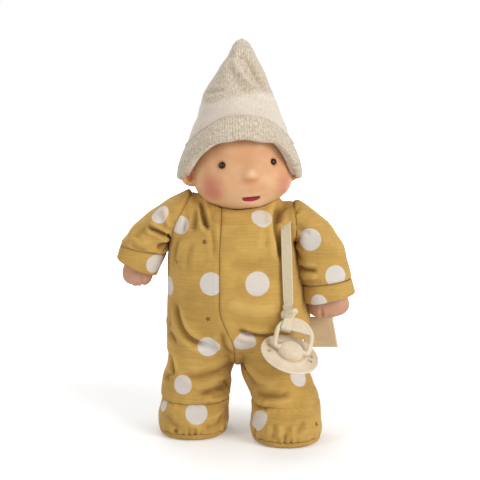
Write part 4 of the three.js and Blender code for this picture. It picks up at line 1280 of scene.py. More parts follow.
def hatSheet(low, high, rings, growOf, reverse=False):
    # A sheet of the hat between two edges; its rows carry how far up they are, 0 to 1
    share = np.linspace(0, 1, rings)
    if reverse:
        share = share[::-1]
    z = low[None, :] + (high - low)[None, :] * share[:, None]
    turn = np.broadcast_to(hatTurn, z.shape)
    grow = growOf(z, turn, share[:, None] + 0 * z)
    points = hatPoint(turn, z, grow)
    radius = np.interp((z - hatBase) / hatValues["height"], hatLevels, hatRadii) * hatValues["width"] / 2
    place = np.stack([turn * np.maximum(radius, 3), z, 0 * z + (1 if reverse else 0)], -1)
    return points, place


def hatShell(sheets):
    points = np.concatenate([p for p, _ in sheets])
    places = np.concatenate([q for _, q in sheets])
    rings, columns = points.shape[:2]
    shell = Shell(points.reshape(-1, 3), gridFaces(rings, columns, wrap=False))
    return shell, places.reshape(-1, 3)


brimLow = edgeHeights(hatEdges["brimLow"], hatTurn)
brimHigh = edgeHeights(hatEdges["brimHigh"], hatTurn)


def waver(turn, size, count=7, seed=1):
    # A slow uneven line round the hat, the same at both ends
    r = np.random.default_rng(seed)
    total = 0 * turn
    for k in range(2, 2 + count):
        total = total + r.normal() / k**0.5 * np.sin(k * turn + r.uniform(0, 6.28))
    return total * size


brimLow = brimLow + waver(hatTurn, 0.22, seed=2)
brimHigh = brimHigh + waver(hatTurn, 0.3, seed=3)


# The brim stands out from the hat, bulges a little, and draws in towards its upper edge, most at the sides
brimValues = {
    "stand": 4.9, "bulge": 0.8, "drawIn": 2.2, "sideDrawIn": 1.6, "inside": 2.0, "insideDrawIn": 1.6,
    "rib": 0.16, "ribCount": 150, "wideRib": 0.1, "wideRibCount": 41, "lowRim": 0.09, "highRim": 0.07,
}


def brimRim(share):
    # 0 on the two rims and 1 between them
    v = brimValues
    return 1 - np.clip(1 - np.minimum(share / v["lowRim"], (1 - share) / v["highRim"]), 0, 1) ** 2.2


def brimOut(z, turn, share):
    v = brimValues
    sideOn = np.abs(np.sin(turn)) ** 3
    drawIn = (v["drawIn"] + v["sideDrawIn"] * sideOn) * share**1.3
    bulge = v["stand"] + v["bulge"] * np.sin(np.clip(share * 1.15, 0, 1) * math.pi) - drawIn
    edge = brimRim(share)
    wide = v["wideRib"] * np.sin(turn * v["wideRibCount"] + 3 * np.sin(turn * 5))
    ribs = v["rib"] * np.sin(turn * v["ribCount"]) + wide
    return (bulge + ribs * edge) * (0.45 + 0.55 * edge) + 0.35 * waver(turn, 0.5, seed=6)


def brimIn(z, turn, share):
    return brimValues["inside"] - brimValues["insideDrawIn"] * brimRim(share)


brimOuter = hatSheet(brimLow, brimHigh, 56, brimOut)
brimInner = hatSheet(brimLow, brimHigh, 26, brimIn, reverse=True)
brimShell, brimPlace = hatShell([brimOuter, brimInner, (brimOuter[0][:1], brimInner[1][-1:])])
hatBrim = restPlace(meshObject("hatBrim", brimShell), brimPlace)
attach(hatBrim, "hat")
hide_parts("hat_brim")

crownLow = brimLow + 2.5
crownHigh = np.full(len(hatTurn), hatBase + hatValues["height"])
bandTop = edgeHeights(hatEdges["band"], hatTurn) + 0.9 * np.sin(3 * hatTurn + 1)


def crownOut(z, turn, share):
    band = smoothStep(2.2, -2.2, z - bandTop[None, :])
    swell = hatValues["bandSwell"] * band * (0.7 + 0.3 * smoothStep(-14, -2, z - bandTop[None, :]))
    tip = smoothStep(hatBase + hatValues["height"], hatBase + hatValues["height"] - 4, z)
    flat = np.stack([np.sin(turn) * 30, np.cos(turn) * 30, z], -1).reshape(-1, 3)
    soft = 0.55 * ripple(flat, (38, 38, 30), 41).reshape(z.shape)
    return swell + soft * tip - 0.6 * (1 - tip)


def crownIn(z, turn, share):
    return -hatValues["knit"] * (1 - 0.3 * share)


crownOuter = hatSheet(crownLow, crownHigh, 150, crownOut)
crownTop = hatBase + hatValues["height"] - 4
crownInner = hatSheet(crownLow, np.full(len(hatTurn), crownTop), 50, crownIn, reverse=True)
cap = np.broadcast_to(crownOuter[0][-1].mean(0), (1, hatColumns + 1, 3))
capIn = np.broadcast_to(crownInner[0][0].mean(0), (1, hatColumns + 1, 3))
crownShell, crownPlace = hatShell([
    crownOuter, (cap + np.array([0, 0, 0.6]), crownOuter[1][-1:]), (capIn, crownInner[1][:1]), crownInner,
    (crownOuter[0][:1], crownInner[1][-1:])])
crownFolds = [
    ([(241, 54), (245, 64), (251, 74), (259, 84), (267, 91)], 3.6, 2.2),
    ([(236, 62), (241, 74), (249, 85), (258, 93)], 3.6, -1.0),
    ([(241, 46), (240, 60), (239, 74)], 2.0, 0.5),
    ([(206, 93), (214, 92), (226, 89)], 2.4, 0.8),
    ([(222, 62), (226, 72), (230, 84)], 5.0, -0.6),
    ([(268, 95), (262, 93), (254, 92)], 2.6, 0.6),
]
outerCount = 150 * (hatColumns + 1)
relief = foldRelief(crownShell, crownFolds)
relief[outerCount:] *= 0.0
crownShell.push(relief * smoothStep(70, 40, np.abs(crownShell.points[:, 1] + 45)))
hatCrown = restPlace(meshObject("hatCrown", crownShell), crownPlace)
bandAttribute(hatCrown, "band",
    smoothStep(2.4, -2.4,
    crownShell.points[:, 2] - np.tile(bandTop, len(crownShell.points) // (hatColumns + 1))))
bandAttribute(hatBrim, "band", np.zeros(len(brimShell.points)))
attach(hatCrown, "hat")
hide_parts("hat_crown")
print("hat ready")


# Ribbon: a doubled tape from the armhole down to the knot, and the pacifier on it
strapValues = {"width": 7.6, "thickness": 1.1, "aboveKnot": 4.34}
strapTop, knotMiddle = jointPlace("strap_swing"), jointPlace("ring_swing")
strapEnd = knotMiddle + np.array([0, 0, strapValues["aboveKnot"]])
strapShares = np.array([(0, 0), (0.25, 0.42), (0.5, 0.7), (0.75, 0.87), (1, 1)])
along = np.linspace(0, 1, 30)
drift = throughPoints(strapShares[:, 0], strapShares[:, 1], along)
strapPath = np.stack([
    strapTop[0] + along * (strapEnd[0] - strapTop[0]), strapTop[1] + drift * (strapEnd[1] - strapTop[1]),
    strapTop[2] + along * (strapEnd[2] - strapTop[2])], -1)


def makeStrap():
    # Cross-section of two layers of tape with a fold along each edge and a furrow off the middle
    around = np.arange(72) / 72 * 2 * math.pi
    c, s = np.cos(around), np.sin(around)
    wide = np.sign(c) * np.abs(c) ** 0.35 * strapValues["width"] / 2
    thick = np.sign(s) * np.abs(s) ** 0.5 * strapValues["thickness"] / 2
    furrow = 0.5 * bell(wide - 0.7, 0.32) + 0.25 * bell(wide - 1.9, 0.25) + 0.2 * bell(wide + 2.9, 0.3)
    rings = []
    places = []
    steps = np.linspace(0, 1, 120)
    line = throughPoints(along, strapPath, steps)
    for k, (t, at) in enumerate(zip(steps, line)):
        tangent = line[min(k + 1, 119)] - line[max(k - 1, 0)]
        tangent /= np.linalg.norm(tangent)
        twist = 0.16 * math.sin(t * 3.0)
        across = np.array([math.cos(twist), math.sin(twist), 0])
        across -= tangent * (across @ tangent)
        across /= np.linalg.norm(across)
        out = np.cross(across, tangent)
        narrow = 1 - 0.1 * float(smoothStep(0.9, 1.0, t)) - 0.02 * math.sin(t * 9)
        inward = thick * (1 - np.where(np.abs(thick) > 0.2, furrow * 0.8, 0))
        ring = at + np.outer(wide * narrow, across) + np.outer(inward, out)
        # the top is cut on a slant and tucked under the cloth
        ring[:, 2] -= (strapValues["width"] / 2 - wide) * 0.62 * (1 - float(smoothStep(0.0, 0.16, t)))
        ring[:, 1] += 1.3 * (1 - float(smoothStep(0.0, 0.05, t)))
        rings.append(ring)
        places.append(np.stack([wide, inward, 0 * wide + t * 62], -1))
    grid = np.array(rings)
    faces = gridFaces(120, 72)
    points = grid.reshape(-1, 3)
    faces += [tuple(range(72))[::-1], tuple(119 * 72 + k for k in range(72))]
    return Shell(points, faces), np.array(places).reshape(-1, 3)


strapShell, strapPlace = makeStrap()
strap = restPlace(meshObject("ribbonTape", strapShell), strapPlace)
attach(strap, "strap")
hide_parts("ribbon")

# The pacifier hangs across the axis that the frame folds it about; its leans are in degrees
pacifierValues = {"ringLean": 37.0, "shieldFacing": 22.0}
pacifierPivot = jointPlace("shield_fold")
foldAxis = np.array(jointList["shield_fold"]["axis"])
foldAxis = foldAxis / np.linalg.norm(foldAxis)


def squareTo(axis, lean):
    # The direction nearest to upright, leaned back by some degrees, that is square to an axis
    up = np.array([0, math.sin(math.radians(lean)), math.cos(math.radians(lean))])
    up = up - axis * (up @ axis)
    return up / np.linalg.norm(up)


ringUp = squareTo(foldAxis, pacifierValues["ringLean"])
ringTurn = np.stack([foldAxis, ringUp, np.cross(foldAxis, ringUp)], 1)
shieldUp = squareTo(foldAxis, -pacifierValues["shieldFacing"])
# x along the bar, y up the shield's face, z out of it
shieldTurn = np.stack([foldAxis, np.cross(shieldUp, foldAxis), shieldUp], 1)

ringValues = {"outer": 15.0, "bar": 1.9, "centre": 11.3, "plateLow": 15.0, "plateThick": 3.0}


def ringPlace(local):
    return np.asarray(local, float) @ ringTurn.T + pacifierPivot


def shieldPlace(local):
    return np.asarray(local, float) @ shieldTurn.T + pacifierPivot


def tube(line, radii, sides=24, squash=1.0):
    line = np.asarray(line, float)
    radii = np.broadcast_to(radii, len(line))
    rings = []
    up = np.array([0.0, 0, 1])
    for k, at in enumerate(line):
        tangent = line[min(k + 1, len(line) - 1)] - line[max(k - 1, 0)]
        tangent /= np.linalg.norm(tangent)
        a = up - tangent * (up @ tangent)
        a = a / np.linalg.norm(a) if np.linalg.norm(a) > 1e-3 else np.array([0, 1.0, 0])
        b = np.cross(tangent, a)
        turn = np.arange(sides) / sides * 2 * math.pi
        rings.append(at + radii[k] * (np.outer(np.cos(turn) * squash, a) + np.outer(np.sin(turn), b)))
    points = np.array(rings).reshape(-1, 3)
    faces = gridFaces(len(line), sides)
    faces += [tuple(range(sides))[::-1], tuple((len(line) - 1) * sides + k for k in range(sides))]
    return Shell(points, faces)


def makeRing():
    v = ringValues
    radius = v["outer"] - v["bar"]
    turns = np.radians(np.linspace(196, -16, 70))
    arc = np.stack([radius * np.cos(turns), v["centre"] + radius * np.sin(turns), 0 * turns], -1)
    foot = 11.0
    left = [(-6.7, 0, 0), (-8.5, 0, 0), (-foot, 0.15, 0), (-12.4, 1.6, 0), (-12.9, 4.2, 0)]
    line = np.array(left + arc[4:-4].tolist() + [(-x, y, z) for x, y, z in left[::-1]])
    line = refined(line, 0.6)
    bar = tube(line, v["bar"] * (0.95 + 0 * line[:, 0]), 28)
    # the crescent: a flat plate with a straight lower edge and rounded corners
    outer = v["outer"] - 0.35
    angle = math.asin((v["plateLow"] - v["centre"]) / outer)
    turns = np.linspace(angle, math.pi - angle, 90)
    rim = np.stack([outer * np.cos(turns), v["centre"] + outer * np.sin(turns)], -1)
    middle = np.array([0, v["centre"] + 8.0])
    rings = []
    for shrink, level in ((0.4, -1), (0.1, -0.97), (0.0, -0.8), (0, 0.8), (0.1, 0.97), (0.4, 1)):
        edge = rim + (middle - rim) / np.linalg.norm(middle - rim, axis=1)[:, None] * shrink
        rings.append(np.column_stack([edge, np.full(len(edge), level * v["plateThick"] / 2)]))
    points = np.array(rings).reshape(-1, 3)
    faces = gridFaces(6, 90)
    faces += [tuple(range(90))[::-1], tuple(5 * 90 + k for k in range(90))]
    plate = Shell(points, faces)
    whole = merged([bar, plate], 0.33, 6)
    # the flat of the plate lies a little under its rim
    p = whole.points
    fromRim = outer - np.hypot(p[:, 0], p[:, 1] - v["centre"])
    flat = smoothStep(2.0, 3.2, fromRim) * smoothStep(v["plateLow"] - 0.2, v["plateLow"] + 1.4, p[:, 1])
    p[:, 2] -= np.sign(p[:, 2]) * 0.25 * flat
    return whole


ringShell = makeRing()
ring = placedObject("pacifierRing", ringShell, ringPlace)
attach(ring, "ring")
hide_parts("pacifier_ring")


def latheShell(profile, sides):
    profile = np.array(profile, float)
    steps = np.concatenate([[0], np.cumsum(np.linalg.norm(np.diff(profile, axis=0), axis=1))])
    fine = np.linspace(0, steps[-1], max(30, int(steps[-1] / 0.35)))
    table = np.stack([np.interp(fine, steps, profile[:, 0]), np.interp(fine, steps, profile[:, 1])], -1)
    for _ in range(3):
        table[1:-1] = 0.25 * table[:-2] + 0.5 * table[1:-1] + 0.25 * table[2:]
    turn = np.arange(sides) / sides * 2 * math.pi
    points = np.stack([table[:, 0:1] * np.cos(turn), table[:, 0:1] * np.sin(turn),
        table[:, 1:2] + 0 * turn], -1).reshape(-1, 3)
    return Shell(points, gridFaces(len(table), sides))


# Shield: a dished disc with a rim, a raised ring round the button and two pairs of vents
shieldValues = {"face": -3.2, "thick": 2.6, "ventRadius": 1.75, "ventX": 15.6, "ventY": 2.9}
v = shieldValues
face, back = v["face"], v["face"] - v["thick"]
plate = latheShell([
    (0.05, back + 0.2), (11, back), (17, back + 0.15), (20.6, back + 0.75), (21.9, back + 1.6),
    (22.0, back + 2.2), (21.6, face + 0.15),
    (20.7, face + 0.3), (19.6, face + 0.05), (17.5, face - 0.25), (13.6, face - 0.2), (12.6, face - 0.05),
    (12.2, face + 0.35), (11.5, face + 0.45), (10.4, face + 0.45), (0.05, face + 0.45)], 200)
plateObject = meshObject("shieldWork", plate)
cutters = []
for sx in (-1, 1):
    for sy in (-1, 1):
        at = np.array([sx * v["ventX"], sy * v["ventY"] + 0.4, face])
        cut = tube([at + np.array([0, 0, d]) for d in (-6, -3, 0, 3, 6)], v["ventRadius"], 28)
        cutter = meshObject("ventWork", cut)
        cutters.append(cutter)
        hole = plateObject.modifiers.new("vent", "BOOLEAN")
        hole.object = cutter
        hole.operation = "DIFFERENCE"
        hole.solver = "EXACT"
cutMesh = plateObject.evaluated_get(bpy.context.evaluated_depsgraph_get()).to_mesh()
shieldLocal = np.array([vert.co for vert in cutMesh.vertices]) * 1000 - rowShift
shieldFaces = [tuple(poly.vertices) for poly in cutMesh.polygons]
for thing in [plateObject, *cutters]:
    bpy.data.objects.remove(thing)
shieldShell = Shell(shieldPlace(shieldLocal), shieldFaces)
shield = restPlace(meshObject("pacifierShield", shieldShell), shieldLocal)
shield.data.set_sharp_from_angle(angle=math.radians(40))
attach(shield, "pacifier")
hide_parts("pacifier_shield")

button = latheShell([
    (0.05, -2.9), (9.5, -2.9), (9.6, -1.4), (9.35, 0.2), (8.7, 1.7), (7.4, 3.1), (5.6, 4.05), (3.4, 4.55),
    (0.05, 4.7)], 140)
# pegs hold the ring's ends at the button's sides
for side in (-1, 1):
    button = button.plus(tube([(side * d, 0, 0.0) for d in (7.2, 8.6, 9.6, 10.2, 10.45)],
        [2.5, 2.5, 2.45, 2.2, 1.6], 36))
buttonObject = placedObject("pacifierButton", button, shieldPlace)
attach(buttonObject, "pacifier")
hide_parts("pacifier_button")

nub = latheShell([(0.05, -12.0), (2.4, -11.95), (4.1, -11.3), (5, -9.8), (5.0, -8.0), (4.5, -6.9),
    (4.4, -6.1), (0.05, -6.05)], 80)
nubObject = placedObject("pacifierNub", nub, shieldPlace)
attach(nubObject, "pacifier")
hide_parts("pacifier_nub")


# Knot: the tape wound over itself, with its loop round the crescent
def makeKnot():
    parts = []

    def lump(at, size, turnZ=0.0, rings=26, columns=36):
        unit = ballPoints(rings, columns, 0.03)
        spin = np.array(Euler((0, turnZ, 0)).to_matrix())
        points = (unit * np.array(size)) @ spin.T + np.array(at)
        faces = gridFaces(rings, columns)
        faces += [tuple(range(columns))[::-1], tuple((rings - 1) * columns + k for k in range(columns))]
        return Shell(points, faces)

    parts.append(lump((-0.4, 0.1, 2.2), (3.9, 1.7, 3.6), 0.05))
    parts.append(lump((0.5, -0.7, -2.3), (5.1, 3.4, 3.5), 0.25))
    turn = np.linspace(0, 2 * math.pi, 60)
    band = np.stack([0.4 + 4.9 * np.cos(turn), -0.7 + 3.5 * np.sin(turn), -1.4 + 1.5 * np.cos(turn + 0.5)],
        -1)
    parts.append(tube(band, 1.15, 16, 1.7))
    band = np.stack([-0.6 + 4.0 * np.cos(turn), -0.7 + 3.5 * np.sin(turn), -4.1 - 1.6 * np.cos(turn)], -1)
    parts.append(tube(band, 1.0, 16, 1.7))
    parts.append(lump((5.3, -1.1, -1.2), (2.1, 2.0, 1.8), -0.5))
    parts.append(lump((-2.4, -0.8, -5.0), (3.4, 2.3, 2.6), 0.5))
    whole = merged(parts, 0.36, 3)
    return Shell(whole.points + knotMiddle, whole.faces)


def makeLoop():
    # A flat band round the crescent: over the plate's front, its lower edge and its back
    v = ringValues
    columns, rings = 120, 34
    acrossList = np.linspace(-1, 1, rings)
    loopX, wide, thick = -7.4, 8.2, 0.95
    layers = []
    for layer in (0, 1):
        rows = acrossList if layer == 0 else acrossList[::-1]
        for a in rows:
            x = loopX + a * wide / 2
            top = v["centre"] + math.sqrt(v["outer"] ** 2 - x**2)
            low = v["plateLow"]
            rim = 1 - abs(a) ** 8
            grow = 0.45 + (thick * rim if layer == 0 else 0)
            half = (top - low) / 2 + grow + 0.25
            depth = 1.95 + grow + 0.12 * math.sin(a * 7 + 1)
            turn = np.arange(columns) / columns * 2 * math.pi
            c, s = np.cos(turn), np.sin(turn)
            y = (top + low) / 2 + np.sign(c) * np.abs(c) ** 0.45 * half
            z = np.sign(s) * np.abs(s) ** 0.6 * depth
            gather = np.exp(-(((y - top) / 5) ** 2))
            xs = x + 0 * y - a * gather * 0.9
            layers.append(np.stack([xs, y, z], -1))
    grid = np.array(layers + layers[:1])
    shell = Shell(grid.reshape(-1, 3), [tuple(reversed(f)) for f in gridFaces(len(grid), columns)])
    return shell


knotShell = makeKnot()
knotPlace = knotShell.points - knotMiddle
loopShell = makeLoop()
loopLocal = loopShell.points.copy()
loopShell.points = ringPlace(loopLocal)
joined = knotShell.plus(loopShell)
knot = restPlace(meshObject("ribbonKnot", joined), np.concatenate([knotPlace, loopLocal]))
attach(knot, "ring")
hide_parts("ribbon_knot")
tuple(toRow(strapPath[0]))
[tuple(q) for q in toRow(strapPath)]
print("ribbon and pacifier ready")

# Label: a folded woven tape in the side seam, bare
labelValues = {"thick": 1.5, "x": 49.285, "y": 7.0, "z": 82.3}
v = labelValues
acrossCount, upCount = 60, 60
a, b = np.meshgrid(np.linspace(0, 1, acrossCount), np.linspace(0, 1, upCount), indexing="ij")
topLeft, topRight = np.array([-0.4, 5.39]), np.array([25.75, 5.39])
lowLeft, lowRight = np.array([4.4, -19.1]), np.array([30.25, -18.9])
across, upward = a[..., None], b[..., None]
topLine = topLeft * (1 - across) + topRight * across
lowLine = lowLeft * (1 - across) + lowRight * across
flat = topLine * upward + lowLine * (1 - upward)
bow = 1.0 * np.sin(a * math.pi * 0.9) * (1 - 0.4 * b) + 0.5 * np.sin(b * 5 + a * 2)
edge = np.minimum(np.minimum(a, 1 - a) * 26, (np.minimum(b, 1 - b) * 25 + 0.0))
thick = v["thick"] / 2 * (1 - np.clip(1 - edge / 0.9, 0, 1) ** 2.5 * 0.85)
seamFurrow = 0.28 * bell(a * 26 - 23.6, 0.5)
sheets = []
for sign in (-1, 1):
    y = v["y"] + bow + sign * (thick - seamFurrow)
    sheets.append(np.stack([v["x"] + flat[..., 0], y, v["z"] + flat[..., 1]], -1))
front, rear = sheets
count = acrossCount * upCount
index = np.arange(count).reshape(acrossCount, upCount)
faces = []
for i in range(acrossCount - 1):
    for j in range(upCount - 1):
        q = (index[i, j], index[i + 1, j], index[i + 1, j + 1], index[i, j + 1])
        faces.append(tuple(int(n) for n in q))
        faces.append(tuple(int(n) + count for n in reversed(q)))
rimLine = list(index[:, 0]) + list(index[-1, 1:]) + list(index[-2::-1, -1]) + list(index[0, -2:0:-1])
for k in range(len(rimLine)):
    m, n = int(rimLine[k]), int(rimLine[(k + 1) % len(rimLine)])
    faces.append((m, m + count, n + count, n))
labelPlace = np.concatenate([np.stack([a * 26, 0 * a + s, b * 25], -1).reshape(-1, 3) for s in (0, 3)])
label = restPlace(meshObject("sideLabel",
    Shell(np.concatenate([front.reshape(-1, 3), rear.reshape(-1, 3)]), faces)), labelPlace)
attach(label, "torso")
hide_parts("side_label")
print("label ready")

# Neck: the body's stuffed knob inside the head, and the thread that ties the cloth to it
neckValues = {"tieRadius": 11.6, "thread": 0.5, "turns": 3.5}
neckShell = latheShell([
    (0.05, -11.45), (4.2, -10.7), (7.35, -8.85), (9.45, -6.55), (10.4, -4.6), (10.3, 0), (10.5, 4.6),
    (12.6, 7), (14.3, 9.4), (14.4, 12.6),
    (11.6, 15.4), (8.2, 16.9), (0.05, 17.0)], 120)
turn = np.arctan2(neckShell.points[:, 1], neckShell.points[:, 0])
neckShell.push(0.28 * np.sin(turn * 17 + 2 * np.sin(turn * 3)) * bell(neckShell.points[:, 2] - 2, 7) - 0.25)
neckKnob = placedObject("neckKnob", neckShell, headPlace)
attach(neckKnob, "neck")
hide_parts("neck_stuffed")
turn = np.linspace(0, neckValues["turns"] * 2 * math.pi, 220)
coil = np.stack([
    neckValues["tieRadius"] * np.cos(turn), neckValues["tieRadius"] * np.sin(turn),
    np.linspace(-0.9, 1.6, 220)], -1)
neckTie = placedObject("neckTie", tube(coil, neckValues["thread"], 10), headPlace)
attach(neckTie, "neck")
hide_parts("neck_tie")
print("neck ready")


# Printed dots and stars: those seen in front are cast onto the cloth, the rest keep their spacing behind
printValues = {"dot": 8.0, "star": 2.1, "column": 37.0, "row": 46.0}
seenDots = {
    "body": [(211, 284, 8.6), (180, 225, 7.0), (169.5, 285.5, 7.2), (262, 218, 8.0), (257.6, 284, 9.2),
    (245, 343, 8.4), (209, 346, 8.6)],
    "sleeve_right": [(160, 214, 7.4)],
    "sleeve_left": [(310, 239.5, 8.4), (336, 276, 8.0)],
    "cuff_right": [(156, 264, 7.8)],
    "cuff_left": [(318.4, 303.4, 6.6)],
    "leg_right": [(209, 346, 8.6), (182.7, 384.7, 7.3)],
    "leg_left": [(299, 377, 7.4), (245, 343, 8.4)],
    "foot_right": [(196.5, 413.5, 8.4), (163.5, 405, 5.0)],
    "foot_left": [(258.5, 420, 7.8)],
}
seenStars = {
    "body": [(176.5, 262), (204.5, 242), (208, 319)],
    "leg_right": [(186, 354), (215, 404)],
    "leg_left": [(245.6, 368)],
    "foot_right": [(176, 431)],
    "foot_left": [(316.5, 424), (290, 443)],
}


def castRound(tree, centre, turns, levels):
    # Where level rays towards an axis meet the cloth
    found = []
    for turn, z in zip(turns, levels):
        out = np.array([math.cos(turn), math.sin(turn), 0])
        start = np.array([centre[0], centre[1], z]) + out * 120
        hit, normal = tree.ray_cast(Vector(start), Vector(-out))[:2]
        if hit is not None:
            found.append((np.array(hit), np.array(normal)))
    return found


def printPlan(tree, name, centre, reach, levels, shift):
    dots = [(onSurface(tree, [(px, py)])[0], size) for px, py, size in seenDots.get(name, [])]
    stars = []
    for px, py in seenStars.get(name, []):
        hit = onSurface(tree, [(px, py)])[0]
        normal = np.array(tree.find_nearest(Vector(hit))[1])
        stars.append((hit, normal))
    around = max(3, int(round(2 * math.pi * reach / printValues["column"])))
    hidden = []
    for k, z in enumerate(levels):
        turns = (np.arange(around) + 0.5 * (k % 2)) / around * 2 * math.pi + shift
        spots = castRound(tree, centre, turns, [z] * around)
        midTurns = turns + math.pi / around
        between = castRound(tree, centre, midTurns, [z + printValues["row"] * 0.12] * around)
        for hit, normal in spots:
            behind = hit[1] > centre[1] + 0.12 * reach
            if behind and all(np.linalg.norm(hit - other) > 26 for other, _ in dots):
                dots.append((hit, printValues["dot"]))
        hidden += [(h, n) for h, n in between if h[1] > centre[1] + 0.12 * reach]
    for hit, normal in hidden:
        if all(np.linalg.norm(hit - other) > 13 for other,
            _ in dots) and all(np.linalg.norm(hit - other) > 22 for other, _ in stars):
            stars.append((hit, normal))
    placed = []
    rng = np.random.default_rng(int(abs(centre[0] * 7 + centre[1] * 3 + reach)) + 3)
    for hit, normal in stars:
        side = np.cross([0, 0, 1], normal)
        side /= max(np.linalg.norm(side), 1e-6)
        up = np.cross(normal, side)
        spin = rng.uniform(0, 2 * math.pi)
        placed.append((hit, side * math.cos(spin) + up * math.sin(spin),
            up * math.cos(spin) - side * math.sin(spin), printValues["star"]))
    return dots, placed


def seamMarks(thing, away):
    bandAttribute(thing, "seamAway", np.clip(away, -30, 30))


p = trunk.points
marks = np.where(p[:, 1] < 4, p[:, 0] - frontSeamX(p[:, 2]), p[:, 0])
sideMarks = np.where(np.abs(p[:, 0]) > 34, p[:, 1] - 4, 30)
sideMarks = np.where((np.abs(p[:, 0]) > 34) & (p[:, 2] < 150), sideMarks, 30)
seamMarks(romperBody, np.where(np.abs(marks) < np.abs(sideMarks), marks, sideMarks))

plan = printPlan(trunkTree, "body", (0, 0), 44, [84, 129, 172], 0.35)
romperBody.data.materials.append(linenMaterial("linenBody", *plan, cut=(0,)))
for side in ("right", "left"):
    legPlan = legPlans[side]
    row = legPlan["rows"][3]
    trouser = bpy.data.objects["trouserLeg_" + side]
    outer = (legPlan["shell"].points[:, 0] - legPlan["x"]) * (-1 if side == "right" else 1)
    legPoints = legPlan["shell"].points
    sideAway = np.where(outer > 6, legPoints[:, 1] - 4, 30)
    ankleAway = legPoints[:, 2] - 27.6 + (12 * smoothStep(28, 40, legPoints[:, 0]) if side == "left" else 0)
    seamMarks(trouser, np.where(np.abs(sideAway) < np.abs(ankleAway), sideAway, ankleAway))
    plan = printPlan(legPlan["tree"], "leg_" + side, (row[0], row[1]), 26, [46],
        0.8 if side == "right" else 0.3)
    trouser.data.materials.append(linenMaterial("linenLeg_" + side, *plan))
    footPlan = footPlans[side]
    upper = bpy.data.objects["footUpper_" + side]
    footPoints = np.array([q.co for q in upper.data.vertices]) * 1000 - rowShift
    ankleAway = footPoints[:, 2] - 28.2 - (12 * smoothStep(28, 40, footPoints[:, 0]) if side == "left"
        else 0)
    soleAway = footPoints[:, 2] - 4.6
    seamMarks(upper, np.where(np.abs(ankleAway) < soleAway, ankleAway, soleAway))
    plan = printPlan(footPlan["tree"], "foot_" + side, footPlan["foot"], 29, [14], 1.2)
    upper.data.materials.append(linenMaterial("linenFoot_" + side, *plan))
    sole = bpy.data.objects["footSole_" + side]
    soleHeights = np.array([q.co[2] for q in sole.data.vertices]) * 1000
    seamMarks(sole, np.where(soleHeights > 3, soleHeights - 5.4, 30))
    fx, fy = footPlan["foot"]
    under = [(np.array([fx - 8, fy - 14, 0.2]), printValues["dot"]),
        (np.array([fx + 10, fy + 13, 0.2]), printValues["dot"])]
    stars = [(np.array([fx + 12, fy - 12, 0.2]), np.array([1, 0, 0]), np.array([0, 1, 0]), 2.9),
        (np.array([fx - 10, fy + 9, 0.2]), np.array([0, 1, 0]), np.array([1, 0, 0]), 2.9)]
    sole.data.materials.append(linenMaterial("linenSole_" + side, under, stars))
    sleevePlan = sleevePlans[side]
    mid = armholeList[side]["centre"] + np.array(sleevePlan["path"][1][:3])
    sleeve = bpy.data.objects["sleeveCloth_" + side]
    plan = printPlan(sleevePlan["tree"], "sleeve_" + side, (mid[0], mid[1]), 17, [mid[2] - 16, mid[2] + 8],
        0.5)
    sleeve.data.materials.append(linenMaterial("linenSleeve_" + side, *plan))
    cuff = bpy.data.objects["cuffCloth_" + side]
    endAt = armholeList[side]["centre"] + (np.array(sleevePlan["path"][-1][:3])
        + np.array(sleevePlan["cuffEnd"][:3])) / 2
    plan = printPlan(sleevePlan["cuffTree"], "cuff_" + side, (endAt[0], endAt[1]), 17, [endAt[2]], 0.9)
    cuff.data.materials.append(linenMaterial("linenCuff_" + side, *plan))
print("cloth finished")


def cottonMaterial(name, thread, slub, pale, dark, finish, strength, relief):
    material, w, shader = newMaterial(name)
    weave = w.use(weaveGroup, Place=w.place("restPlace"), Thread=thread, Slub=slub)
    w.feed(shader.inputs["Base Color"], w.colours(weave["Shade"], linear(*dark), linear(*pale)))
    setInputs(shader, finish)
    bumped(w, shader, weave["Height"], strength, relief)
    return material


tapeFinish = {"Roughness": 0.85, "Specular IOR Level": 0.25}
tapeMaterial = cottonMaterial("mustardTape", 0.34, 0.2, (190, 146, 68), (150, 108, 42), tapeFinish, 0.7,
    0.1)
for side in ("right", "left"):
    bpy.data.objects["armholeSeam_" + side].data.materials.append(tapeMaterial)

# deep is both the vinyl's mottle and the painted shade on the brow and under the nose; lit is the painted
# highlight on the nose and the painted light on the lower face
skinValues = {
    "skin": (218, 170, 126), "lit": (246, 210, 166), "deep": (200, 138, 92), "blush": (192, 104, 88),
    "rim": (196, 106, 52), "mouth": (150, 24, 44), "mouthShade": (84, 10, 18), "lip": (214, 150, 122),
    "hand": (196, 148, 120), "handDeep": (176, 120, 96),
}


def tinted(w, colour, mask, strength, tone):
    return w.colours(w.times(mask, strength), colour, linear(*tone))


def spotted(w, place, colour, spots):
    # Each spot is its middle, how it's squashed, its radius, its strength and its colour
    for middle, squash, size, strength, tone in spots:
        mask = w.use(spotGroup, Place=place, Middle=tuple(middle), Squash=squash, Radius=size)["Mask"]
        colour = tinted(w, colour, mask, strength, tone)
    return colour


